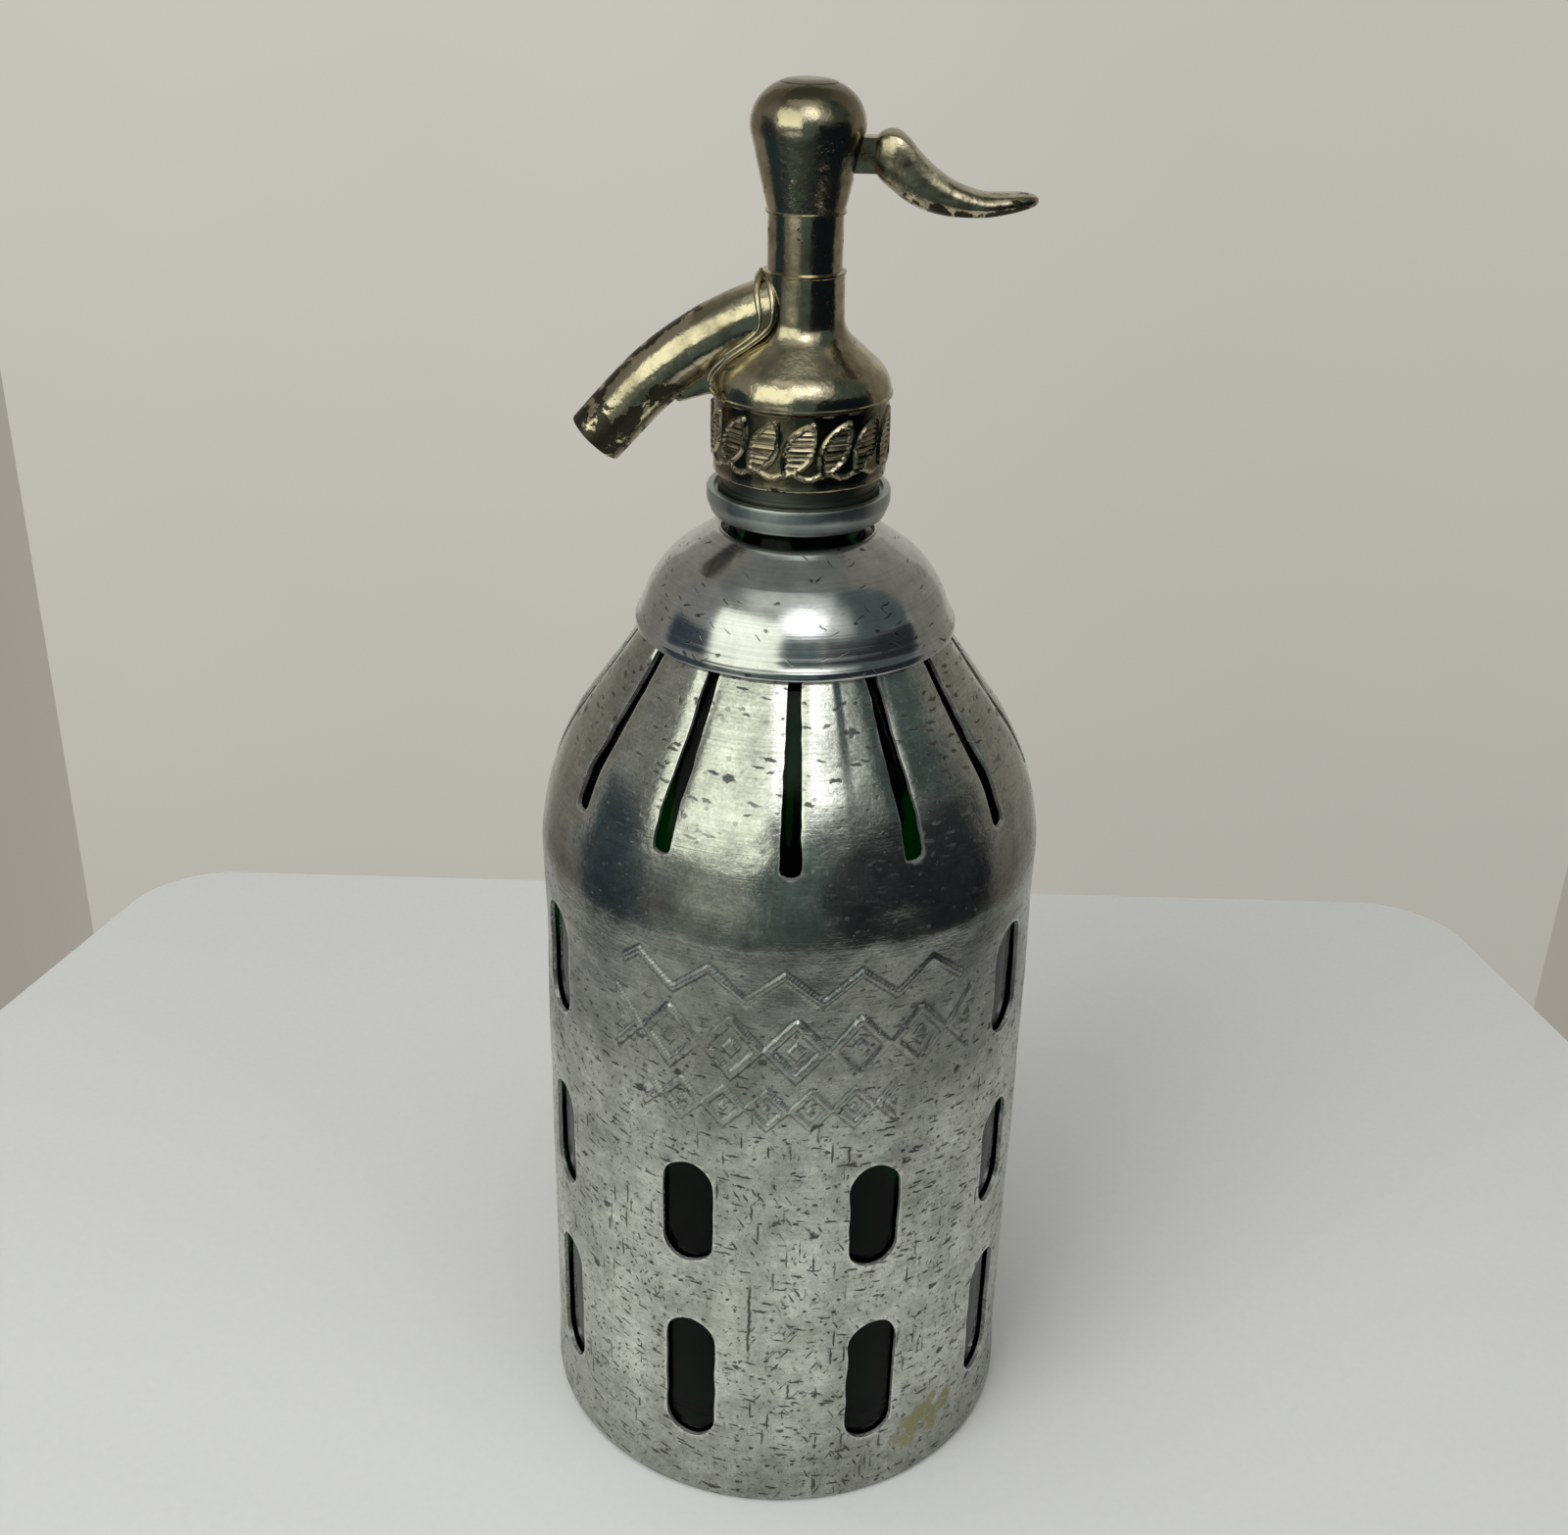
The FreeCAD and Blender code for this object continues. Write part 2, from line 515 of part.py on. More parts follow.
def window_row(body, name, low_z, height, first_angle, count, span):
    """One ring of upright windows with round ends, punched through the jacket."""
    sketch = new_sketch(body, name + "Outline")
    upright = FreeCAD.Rotation(FreeCAD.Vector(0, 1, 0), value(first_angle))
    sketch.AttachmentOffset = FreeCAD.Placement(FreeCAD.Vector(0, 0, 0), upright)
    sketch.setExpression("AttachmentOffset.Rotation.Angle", bound(first_angle))
    half = value("window_w / 2")
    low = value(f"{low_z} + window_w / 2")
    high = value(f"{low_z} + {height} - window_w / 2")
    up = FreeCAD.Vector(0, 0, 1)
    top = Part.ArcOfCircle(Part.Circle(FreeCAD.Vector(0, high, 0), up, half), 0, math.pi)
    bottom = Part.ArcOfCircle(Part.Circle(FreeCAD.Vector(0, low, 0), up, half), math.pi, 2 * math.pi)
    left = Part.LineSegment(FreeCAD.Vector(-half, high, 0), FreeCAD.Vector(-half, low, 0))
    right = Part.LineSegment(FreeCAD.Vector(half, low, 0), FreeCAD.Vector(half, high, 0))
    for shape in (top, left, bottom, right):
        sketch.addGeometry(shape, False)
    for first, first_end, second, second_end in ((0, 2, 1, 1), (1, 2, 2, 1), (2, 2, 3, 1), (3, 2, 0, 1)):
        ends = (first, first_end, second, second_end)
        sketch.addConstraint(Sketcher.Constraint("Tangent", *ends))
    place_point(sketch, 0, 3, "0", f"{low_z} + {height} - window_w / 2")
    place_point(sketch, 2, 3, "0", f"{low_z} + window_w / 2")
    width = sketch.addConstraint(Sketcher.Constraint("Radius", 0, half))
    sketch.setExpression(f"Constraints[{width}]", bound("window_w / 2"))
    cut = front_cut(body, name, sketch)
    return polar(body, name + "s", cut, count, span)


def make_jacket():
    body = new_body("jacket")
    revolve(body, "JacketShell", [
        ("lip_r", "0"),
        ("jacket_r", "0", "edge_round"),
        ("jacket_r", "shoulder_z", "shoulder_round"),
        ("finger_top_r", "finger_top_z"),
        ("finger_top_r - jacket_wall * cos(finger_lean)",
         "finger_top_z - jacket_wall * sin(finger_lean)"),
        ("jacket_r - jacket_wall", "shoulder_z - jacket_wall * tan(finger_lean / 2)",
         "shoulder_round - jacket_wall"),
        ("jacket_r - jacket_wall", "jacket_wall", "edge_round - jacket_wall"),
        ("lip_r", "jacket_wall"),
    ])
    doc.recompute()
    volume = body.Shape.Volume
    slot = outline(new_sketch(body, "SlotOutline"), [
        ("-slot_low_w / 2", "slot_low_z", "slot_round"),
        ("slot_low_w / 2", "slot_low_z", "slot_round"),
        ("slot_top_w / 2", "finger_top_z + jacket_wall"),
        ("-slot_top_w / 2", "finger_top_z + jacket_wall"),
    ])
    polar(body, "Slots", front_cut(body, "Slot", slot), "slot_count", "360")
    volume = must_shrink(body, "Slots", volume)
    # the front gap is a little wider than the others, which share what is left of the turn
    full = ("window_first", "window_count", "window_span")
    window_row(body, "LowWindow", "low_window_z", "low_window_h", *full)
    volume = must_shrink(body, "LowWindows", volume)
    window_row(body, "MiddleWindow", "middle_window_z", "middle_window_h", *full)
    volume = must_shrink(body, "MiddleWindows", volume)
    # the top ring leaves out the two windows beside the front gap
    window_row(body, "HighWindow", "high_window_z", "high_window_h",
               "window_first + window_step", "window_count - 2", "window_span - 2 * window_step")
    must_shrink(body, "HighWindows", volume)
    parts["jacket"] = body


def make_shoulder_dome():
    turned_part("shoulder_dome", [
        ("dome_hole_r", "dome_top_z - dome_lip_h"),
        ("dome_hole_r", "dome_top_z", "dome_lip_round"),
        ("dome_corner_r", "dome_corner_z", "dome_round"),
        ("dome_side_r", "hem_z + hem_h"),
        ("hem_r", "hem_z + hem_h - hem_step"),
        ("hem_r", "hem_z"),
        ("hem_in_r", "hem_z"),
        ("hem_in_r", "hem_z + hem_h / 2"),
        ("dome_side_r - dome_wall / cos(dome_side)", "hem_z + hem_h"),
        ("dome_corner_r - dome_inner * (sin(dome_top) + cos(dome_side))",
         "dome_corner_z - dome_inner * (cos(dome_top) + sin(dome_side))",
         "dome_round - dome_wall"),
        ("dome_hole_r + dome_wall",
         "dome_top_z - dome_wall / cos(dome_top) - dome_wall * tan(dome_top)",
         "dome_lip_round - dome_wall"),
        ("dome_hole_r + dome_wall", "dome_top_z - dome_lip_h"),
    ])


def make_base_cushion():
    turned_part("base_cushion", [
        ("lip_r + cushion_in", "jacket_wall"),
        ("bottle_r - heel_round", "jacket_wall"),
        ("bottle_r - heel_round", "bottle_z"),
        ("lip_r + cushion_in", "bottle_z"),
    ])


def make_bottle():
    inner_neck = ("neck_corner_z - bottle_wall * sin(glass_lean)"
                  " - (neck_bore - neck_r + bottle_wall * cos(glass_lean)) / tan(glass_lean)")
    turned_part("bottle", [
        ("0", "bottle_z + punt_h"),
        ("punt_r - punt_slope", "bottle_z + punt_h"),
        ("punt_r", "bottle_z", "foot_round"),
        ("bottle_r", "bottle_z", "heel_round"),
        ("bottle_r", "glass_shoulder_z", "glass_shoulder_round"),
        ("neck_r", "neck_corner_z", "neck_round"),
        ("neck_r", "bead_z"),
        ("bead_r", "bead_z + bead_r - neck_r"),
        ("bead_r", "bead_top_z", "rim_round"),
        ("mouth_r", "bead_top_z + rim_round"),
        ("mouth_r", "mouth_z", "rim_round"),
        ("neck_bore", "mouth_z"),
        ("neck_bore", inner_neck, "neck_round + bottle_wall"),
        ("bottle_r - bottle_wall", "glass_shoulder_z - bottle_wall * tan(glass_lean / 2)",
         "glass_shoulder_round - bottle_wall"),
        ("bottle_r - bottle_wall", "floor_z", "floor_round"),
        ("0", "floor_z"),
    ])


# ---------------------------------------------------------------------------------------
# neck ring, split collar and mouth gasket
# ---------------------------------------------------------------------------------------

def make_neck_ring():
    turned_part("neck_ring", [
        ("ring_lip_r", "ring_low_z"),
        ("ring_r", "ring_low_z", "ring_round"),
        ("ring_r", "ring_top_z", "ring_round"),
        ("recess_r", "ring_top_z"),
        ("recess_r", "recess_z"),
        ("flange_r + thread_gap", "recess_z"),
        ("flange_r + thread_gap", "collar_low_z"),
        ("ring_lip_r", "collar_low_z"),
    ])


def make_collar_half(name, facing):
    """One half of the threaded collar; facing is the angle it is turned to round the neck."""
    body = new_body(name)
    sketch = new_sketch(body, name + "Outline", "YZ_Plane")
    turn = FreeCAD.Rotation(FreeCAD.Vector(0, 1, 0), facing)
    sketch.AttachmentOffset = FreeCAD.Placement(FreeCAD.Vector(0, 0, 0), turn)
    outline(sketch, [
        ("collar_bore", "collar_low_z"),
        ("flange_r", "collar_low_z"),
        ("flange_r", "flange_top_z"),
        ("thread_r", "flange_top_z"),
        ("thread_r", "collar_top_z"),
        ("collar_bore + collar_rise + loose", "collar_top_z"),
        ("collar_bore", "bead_z - loose"),
    ])
    half = body.newObject("PartDesign::Revolution", name + "Turned")
    half.Profile = sketch
    half.ReferenceAxis = (sketch, ["V_Axis"])
    half.setExpression("Angle", bound("180 - collar_split"))
    half.Midplane = True
    parts[name] = body


def make_mouth_gasket():
    turned_part("mouth_gasket", [
        ("gasket_bore", "mouth_z"),
        ("gasket_r", "mouth_z"),
        ("gasket_r", "cup_top_z"),
        ("gasket_bore", "cup_top_z"),
    ])


# ---------------------------------------------------------------------------------------
# cast head
# ---------------------------------------------------------------------------------------

def bulb_corners():
    """The bulb's outline from its lower edge to its crown; head, plug and pin share it."""
    return [
        ("bulb_low_r", "bulb_low_z + ridge"),
        ("bulb_r", "bulb_z", "bulb_round"),
        ("crown_r", "head_top_z", "crown_round"),
        ("0", "head_top_z"),
    ]


def ridge_corners(below, crest, above, height):
    """A thin ridge cast round the head, from the radius below it to the one above."""
    return [
        (below, f"{height} - ridge"),
        (crest, f"{height} - ridge / 2"),
        (crest, f"{height} + ridge / 2"),
        (above, f"{height} + ridge"),
    ]


def spout_path(body):
    """The spout's middle line: a long bend that ends in a straight run."""
    sketch = new_sketch(body, "SpoutPath")
    middle_x = "spout_bend * sin(spout_root_angle)"
    middle_z = "spout_root_z - spout_bend * cos(spout_root_angle)"
    middle = FreeCAD.Vector(value(middle_x), value(middle_z), 0)
    bend = Part.Circle(middle, FreeCAD.Vector(0, 0, 1), value("spout_bend"))
    root = math.radians(90 + value("spout_root_angle"))
    last = math.radians(90 + value("spout_end_angle"))
    arc = Part.ArcOfCircle(bend, root, last)
    tip_x = f"{middle_x} - spout_bend * sin(spout_end_angle) - spout_end * cos(spout_end_angle)"
    tip_z = f"{middle_z} + spout_bend * cos(spout_end_angle) - spout_end * sin(spout_end_angle)"
    tip = FreeCAD.Vector(value(tip_x), value(tip_z), 0)
    sketch.addGeometry(arc, False)
    sketch.addGeometry(Part.LineSegment(arc.EndPoint, tip), False)
    sketch.addConstraint(Sketcher.Constraint("Tangent", 0, 2, 1, 1))
    place_point(sketch, 0, 1, "0", "spout_root_z")
    place_point(sketch, 0, 3, middle_x, middle_z)
    place_point(sketch, 1, 2, tip_x, tip_z)
    return sketch


def along_spout(body, name, path, radius, kind):
    """A round bar, or a round bore, along the spout's middle line."""
    sketch = new_sketch(body, name + "Outline", "YZ_Plane")
    lean = FreeCAD.Rotation(FreeCAD.Vector(-1, 0, 0), value("spout_root_angle"))
    sketch.AttachmentOffset = FreeCAD.Placement(FreeCAD.Vector(0, value("spout_root_z"), 0), lean)
    sketch.setExpression("AttachmentOffset.Base.y", bound("spout_root_z"))
    sketch.setExpression("AttachmentOffset.Rotation.Angle", bound("spout_root_angle"))
    circle(sketch, "0", "0", radius)
    pipe = body.newObject(kind, name)
    pipe.Profile = sketch
    pipe.Spine = (path, [])
    body.Tip = pipe
    return pipe


def make_head_body():
    body = new_body("head_body")
    revolve(body, "HeadCasting", [
        ("0", "skirt_low_z"),
        ("skirt_r", "skirt_low_z", "2 * ridge"),
        *ridge_corners("skirt_r", "skirt_r + ridge", "skirt_r", "skirt_ridge_z"),
        ("skirt_r", "bell_z", "bell_edge_round"),
        ("stalk_low_r", "bell_top_z", "bell_neck_round"),
        *ridge_corners("stalk_low_r", "stalk_low_r + ridge", "stalk_r", "stalk_ridge_z"),
        *ridge_corners("stalk_r", "bulb_low_r + ridge / 2", "", "bulb_low_z")[:3],
        *bulb_corners(),
    ])
    path = spout_path(body)
    along_spout(body, "Spout", path, "spout_r", "PartDesign::AdditivePipe")
    web = outline(new_sketch(body, "WebOutline"), [
        ("web_root - skirt_r", "web_low_z"),
        ("-skirt_r", "web_low_z"),
        ("-web_reach", "web_end_z"),
        ("-web_reach", "web_end_z + web_end_h"),
        ("web_root - skirt_r", "web_low_z + web_h"),
    ])
    extrude(body, "Web", web, "web_t")
    doc.recompute()
    volume = body.Shape.Volume
    revolve(body, "HeadHollow", [
        ("0", "skirt_low_z - ridge"),
        ("thread_r + thread_gap", "skirt_low_z - ridge"),
        ("thread_r + thread_gap", "cup_low_z"),
        ("cup_r", "cup_low_z"),
        ("cup_r", "cup_top_z"),
        ("seat_bore", "cup_top_z"),
        ("seat_bore", "chamber_low_z"),
        ("chamber_r", "chamber_low_z"),
        ("chamber_r", "bulb_floor_z"),
        ("bulb_bore", "bulb_floor_z"),
        ("bulb_bore", "bulb_z"),
        ("plug_r + thread_gap", "bulb_z"),
        ("plug_r + thread_gap", "head_top_z + ridge"),
        ("0", "head_top_z + ridge"),
    ], "PartDesign::Groove")
    volume = must_shrink(body, "HeadHollow", volume)
    along_spout(body, "SpoutBore", path, "spout_bore", "PartDesign::SubtractivePipe")
    volume = must_shrink(body, "SpoutBore", volume)
    slot = outline(new_sketch(body, "TongueSlotOutline"), [
        ("pin_x - slot_in", "tongue_low_z - slot_under"),
        ("bulb_r + tongue_play", "tongue_low_z - slot_under"),
        ("bulb_r + tongue_play", "tongue_top_z + slot_over"),
        ("pin_x - slot_in", "tongue_top_z + slot_over"),
    ])
    extrude(body, "TongueSlot", slot, "tongue_t + 2 * tongue_play", "PartDesign::Pocket")
    volume = must_shrink(body, "TongueSlot", volume)
    hole = circle(new_sketch(body, "PinHoleOutline"), "pin_x", "pin_z", "pin_r + pin_grip")
    extrude(body, "PinHole", hole, "4 * bulb_r", "PartDesign::Pocket")
    must_shrink(body, "PinHole", volume)
    parts["head_body"] = body


def make_bulb_form():
    """The bulb's outside as a plain solid, to trim plug and pin flush with it."""
    body = new_body("BulbForm")
    revolve(body, "BulbTurned", [
        ("0", "bulb_low_z + ridge"),
        *bulb_corners(),
    ])
    return body


def cylinder(name, radius, height, low):
    """An upright Part cylinder on the axis, tied to the sheet."""
    shape = doc.addObject("Part::Cylinder", name)
    shape.setExpression("Radius", bound(radius))
    shape.setExpression("Height", bound(height))
    shape.Placement.Base = FreeCAD.Vector(0, 0, value(low))
    shape.setExpression("Placement.Base.z", bound(low))
    return shape


def make_top_plug(bulb_form):
    thread = cylinder("PlugThread", "plug_r", "crown_h + ridge", "bulb_z")
    flush = doc.addObject("Part::MultiCommon", "PlugFlush")
    flush.Shapes = [thread, bulb_form]
    recess = cylinder("PlugRecess", "plug_recess_r", "plug_recess_h + ridge", "bulb_z - ridge")
    plug = doc.addObject("Part::Cut", "top_plug")
    plug.Base = flush
    plug.Tool = recess
    parts["top_plug"] = plug


def make_lever_pin(bulb_form):
    rod = doc.addObject("Part::Cylinder", "PinRod")
    rod.setExpression("Radius", bound("pin_r"))
    rod.setExpression("Height", bound("2 * bulb_r"))
    across = FreeCAD.Rotation(FreeCAD.Vector(1, 0, 0), 90)
    start = FreeCAD.Vector(value("pin_x"), value("bulb_r"), value("pin_z"))
    rod.Placement = FreeCAD.Placement(start, across)
    rod.setExpression("Placement.Base.x", bound("pin_x"))
    rod.setExpression("Placement.Base.y", bound("bulb_r"))
    rod.setExpression("Placement.Base.z", bound("pin_z"))
    pin = doc.addObject("Part::MultiCommon", "lever_pin")
    pin.Shapes = [rod, bulb_form]
    parts["lever_pin"] = pin


# ---------------------------------------------------------------------------------------
# lever
# ---------------------------------------------------------------------------------------

def lever_section(body, section):
    """One rounded cross-section of the lever, across its length."""
    sketch = new_sketch(body, f"Lever{section.title()}", "YZ_Plane")
    out = f"pin_x + {section}_out"
    up = f"pin_z + {section}_up"
    place = FreeCAD.Vector(0, value(up), value(out))
    sketch.AttachmentOffset = FreeCAD.Placement(place, FreeCAD.Rotation())
    sketch.setExpression("AttachmentOffset.Base.y", bound(up))
    sketch.setExpression("AttachmentOffset.Base.z", bound(out))
    wide = f"{section}_half_w"
    high = f"{section}_half_h"
    round_off = f"lever_round * min({high}; {wide})"
    return outline(sketch, [
        (f"-{wide}", f"-{high}", round_off),
        (wide, f"-{high}", round_off),
        (wide, high, round_off),
        (f"-{wide}", high, round_off),
    ])


def make_lever():
    body = new_body("lever")
    sections = [lever_section(body, section[0]) for section in LEVER_SECTIONS]
    tail = body.newObject("PartDesign::AdditiveLoft", "LeverTail")
    tail.Profile = sections[0]
    tail.Sections = sections[1:]
    body.Tip = tail
    tongue = outline(new_sketch(body, "TongueOutline"), [
        ("pin_x - tongue_in", "tongue_low_z"),
        ("pin_x + tongue_out", "tongue_low_z"),
        ("pin_x + tongue_out", "tongue_top_z"),
        ("pin_x - tongue_in + tongue_bevel", "tongue_top_z"),
        ("pin_x - tongue_in", "tongue_top_z - tongue_bevel"),
    ])
    extrude(body, "Tongue", tongue, "tongue_t")
    finger = outline(new_sketch(body, "FingerOutline"), [
        ("nose_x", "nose_z - finger_half_h"),
        ("pin_x - tongue_in + tongue_bevel", "nose_z - finger_half_h"),
        ("pin_x - tongue_in + tongue_bevel", "nose_z + finger_half_h"),
        ("nose_x", "nose_z + finger_half_h"),
    ])
    extrude(body, "Finger", finger, "finger_t")
    nose = circle(new_sketch(body, "NoseOutline"), "nose_x", "nose_z", "nose_r")
    extrude(body, "Nose", nose, "finger_t")
    doc.recompute()
    volume = body.Shape.Volume
    hole = circle(new_sketch(body, "LeverHoleOutline"), "pin_x", "pin_z", "pin_r + pin_play")
    extrude(body, "LeverHole", hole, "4 * tongue_t", "PartDesign::Pocket")
    must_shrink(body, "LeverHole", volume)
    parts["lever"] = body


# ---------------------------------------------------------------------------------------
# valve train
# ---------------------------------------------------------------------------------------

def make_plunger():
    hole_top = "washer_top_z + screw_depth + 2 * ridge"
    body = turned_part("plunger", [
        ("screw_hole_r", "washer_top_z"),
        ("disc_r", "washer_top_z"),
        ("disc_r", "disc_top_z"),
        ("stem_r", "disc_top_z"),
        ("stem_r", "plunger_low_z"),
        ("plunger_r", "plunger_low_z"),
        ("plunger_r", "groove_z"),
        ("groove_r", "groove_z"),
        ("groove_r", "groove_z + groove_h"),
        ("plunger_r", "groove_z + groove_h"),
        ("plunger_r", "plunger_top_z"),
        ("spigot_r", "plunger_top_z"),
        ("spigot_r", "plunger_top_z + spigot_h"),
        ("0", "plunger_top_z + spigot_h"),
        ("0", hole_top),
        ("screw_hole_r", hole_top),
    ])
    doc.recompute()
    volume = body.Shape.Volume
    window = outline(new_sketch(body, "PlungerWindowOutline", "YZ_Plane"), [
        ("-window_side", "nose_z - window_drop"),
        ("window_side", "nose_z - window_drop"),
        ("window_side", "window_top_z"),
        ("-window_side", "window_top_z"),
    ])
    extrude(body, "PlungerWindow", window, "4 * chamber_r", "PartDesign::Pocket")
    must_shrink(body, "PlungerWindow", volume)


def make_plunger_packing():
    turned_part("plunger_packing", [
        ("groove_r", "groove_z"),
        ("chamber_r - packing_gap", "groove_z"),
        ("chamber_r - packing_gap", "groove_z + groove_h"),
        ("groove_r", "groove_z + groove_h"),
    ])


def make_valve_washer():
    turned_part("valve_washer", [
        ("screw_hole_r", "washer_low_z"),
        ("disc_r", "washer_low_z"),
        ("disc_r", "washer_top_z"),
        ("screw_hole_r", "washer_top_z"),
    ])


def make_washer_screw():
    turned_part("washer_screw", [
        ("0", "washer_low_z - screw_head_h"),
        ("screw_head_r", "washer_low_z - screw_head_h", "screw_head_h / 2"),
        ("screw_head_r", "washer_low_z"),
        ("screw_r", "washer_low_z"),
        ("screw_r", "washer_top_z + screw_depth"),
        ("0", "washer_top_z + screw_depth"),
    ])


def make_valve_seat():
    turned_part("valve_seat", [
        ("seat_hole_r", "seat_low_z"),
        ("seat_thread_r", "seat_low_z"),
        ("seat_thread_r", "seat_thread_top_z"),
        ("seat_hole_r + lip_t", "seat_thread_top_z"),
        ("seat_hole_r + lip_t", "seat_top_z"),
        ("seat_hole_r", "seat_top_z"),
    ])


def make_seat_seal():
    turned_part("seat_seal", [
        ("chamber_r", "seat_thread_top_z"),
        ("seat_bore - loose", "seat_thread_top_z"),
        ("seat_bore - loose", "chamber_low_z"),
        ("chamber_r", "chamber_low_z"),
    ])


def make_return_spring():
    body = new_body("return_spring")
    wire = circle(new_sketch(body, "WireOutline"), "spring_r", "spring_low_z", "spring_wire")
    coil = body.newObject("PartDesign::AdditiveHelix", "Coil")
    coil.Profile = wire
    coil.ReferenceAxis = (wire, ["V_Axis"])
    coil.Mode = "height-turns-angle"
    coil.setExpression("Height", bound("spring_top_z - spring_low_z"))
    coil.setExpression("Turns", bound("spring_turns"))
    body.Tip = coil
    parts["return_spring"] = body


# ---------------------------------------------------------------------------------------
# dip tube and its holder
# ---------------------------------------------------------------------------------------

def make_tube_holder():
    turned_part("tube_holder", [
        ("socket_r", "holder_low_z"),
        ("holder_r", "holder_low_z"),
        ("holder_r", "holder_flange_z"),
        ("holder_flange_r", "holder_flange_z"),
        ("holder_flange_r", "cup_top_z"),
        ("seat_thread_r", "cup_top_z"),
        ("seat_thread_r", "holder_top_z"),
        ("holder_bore", "holder_top_z"),
        ("holder_bore", "socket_top_z"),
        ("socket_r", "socket_top_z"),
    ])


def make_tube_sleeve():
    turned_part("tube_sleeve", [
        ("sleeve_bore", "sleeve_low_z"),
        ("sleeve_r", "sleeve_low_z"),
        ("sleeve_r", "tube_top_z"),
        ("sleeve_bore", "tube_top_z"),
    ])


def make_dip_tube():
    turned_part("dip_tube", [
        ("tube_bore", "tube_low_z"),
        ("tube_r", "tube_low_z"),
        ("tube_r", "tube_top_z"),
        ("tube_bore", "tube_top_z"),
    ])


make_jacket()
make_shoulder_dome()
make_base_cushion()
make_bottle()
make_neck_ring()
make_collar_half("collar_half_rear", 0)
make_collar_half("collar_half_front", 180)
make_mouth_gasket()
make_head_body()
shared_bulb_form = make_bulb_form()
make_top_plug(shared_bulb_form)
make_lever_pin(shared_bulb_form)
make_lever()
make_plunger()
make_plunger_packing()
make_valve_washer()
make_washer_screw()
make_valve_seat()
make_seat_seal()
make_return_spring()
make_tube_holder()
make_tube_sleeve()
make_dip_tube()
doc.recompute()

for item in doc.Objects:
    if "Invalid" in item.State or "Error" in item.State:
        raise RuntimeError(f"{item.Name} did not come out: {item.State}")
for node, item in parts.items():
    if item.Shape.isNull() or not item.Shape.isValid():
        raise RuntimeError(f"{node} has no valid shape")
    if len(item.Shape.Solids) != 1:
        raise RuntimeError(f"{node} has {len(item.Shape.Solids)} solids")

os.makedirs("parts", exist_ok=True)
for node, item in parts.items():
    item.Label = node
    item.Shape.exportStep(f"parts/{node}.step")
    box = item.Shape.BoundBox
    print(f"{node}: {item.Shape.Volume:.1f} mm3, z {box.ZMin:.2f} to {box.ZMax:.2f}")
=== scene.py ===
"""Dresses the soda siphon: finely modelled pieces over its CAD frame, real finishes, and a pale stage."""

import math

import bmesh
import bpy
from mathutils import Matrix, Vector, noise


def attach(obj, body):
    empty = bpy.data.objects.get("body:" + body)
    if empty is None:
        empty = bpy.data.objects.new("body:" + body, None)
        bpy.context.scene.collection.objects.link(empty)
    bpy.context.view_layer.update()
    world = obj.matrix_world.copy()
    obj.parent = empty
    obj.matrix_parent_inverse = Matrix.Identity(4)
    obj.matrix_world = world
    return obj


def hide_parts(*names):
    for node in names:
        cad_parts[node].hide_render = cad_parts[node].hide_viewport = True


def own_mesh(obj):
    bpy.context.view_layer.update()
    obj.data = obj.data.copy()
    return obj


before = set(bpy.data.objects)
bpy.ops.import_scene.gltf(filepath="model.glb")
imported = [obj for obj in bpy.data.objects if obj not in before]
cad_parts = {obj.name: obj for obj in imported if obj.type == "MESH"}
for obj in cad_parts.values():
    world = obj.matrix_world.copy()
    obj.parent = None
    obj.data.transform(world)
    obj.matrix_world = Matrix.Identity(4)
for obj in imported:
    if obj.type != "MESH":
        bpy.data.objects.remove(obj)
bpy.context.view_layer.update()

bl_info = {
    "name": "Soda Siphon",
    "version": (1, 0, 0),
    "blender": (4, 5, 0),
    "location": "3D View > Sidebar > Siphon",
    "description": "Builds a soda siphon with a punched metal jacket, a cast head and a glass bottle",
    "category": "Add Mesh",
}

MM = 0.001
TURN = 2 * math.pi
# points closer than this are made one
MERGE = 0.002 * MM


def linear(code):
    """The linear colour, with full alpha, of an sRGB hex value."""
    channels = [int(code[place:place + 2], 16) / 255 for place in (1, 3, 5)]
    return (*(c / 12.92 if c <= 0.04045 else ((c + 0.055) / 1.055) ** 2.4 for c in channels), 1.0)


def colour(name, code, description):
    return bpy.props.FloatVectorProperty(
        name=name, description=description, subtype="COLOR", size=4, min=0, max=1, default=linear(code))


def length(name, size, description):
    return bpy.props.FloatProperty(
        name=name, description=description, default=size * MM, min=0, unit="LENGTH", subtype="DISTANCE")


class SiphonSizes(bpy.types.PropertyGroup):
    """Sizes of the dressed pieces"""

    dent_depth: length("Dent depth", 0.55, "Depth of the deepest dents in the jacket")
    emboss: length("Ornament height", 0.5, "How far the jacket's ornament stands out from its ground")
    finger_bend: length("Finger bend", 0.7, "How far the shoulder fingers are pressed in at their tops")
    window_wobble: length("Punching error", 0.28, "How unevenly the windows were punched")
    cast_wobble: length("Casting unevenness", 0.07, "How uneven the cast head and lever are")
    brush_pitch: length("Brush line spacing", 0.35, "Distance between the turned lines on the jacket")
    pit_size: length("Pit size", 1.2, "Size of the pits in the aluminium")
    flake_size: length("Flake size", 4.5, "Size of the worn spots in the plating")


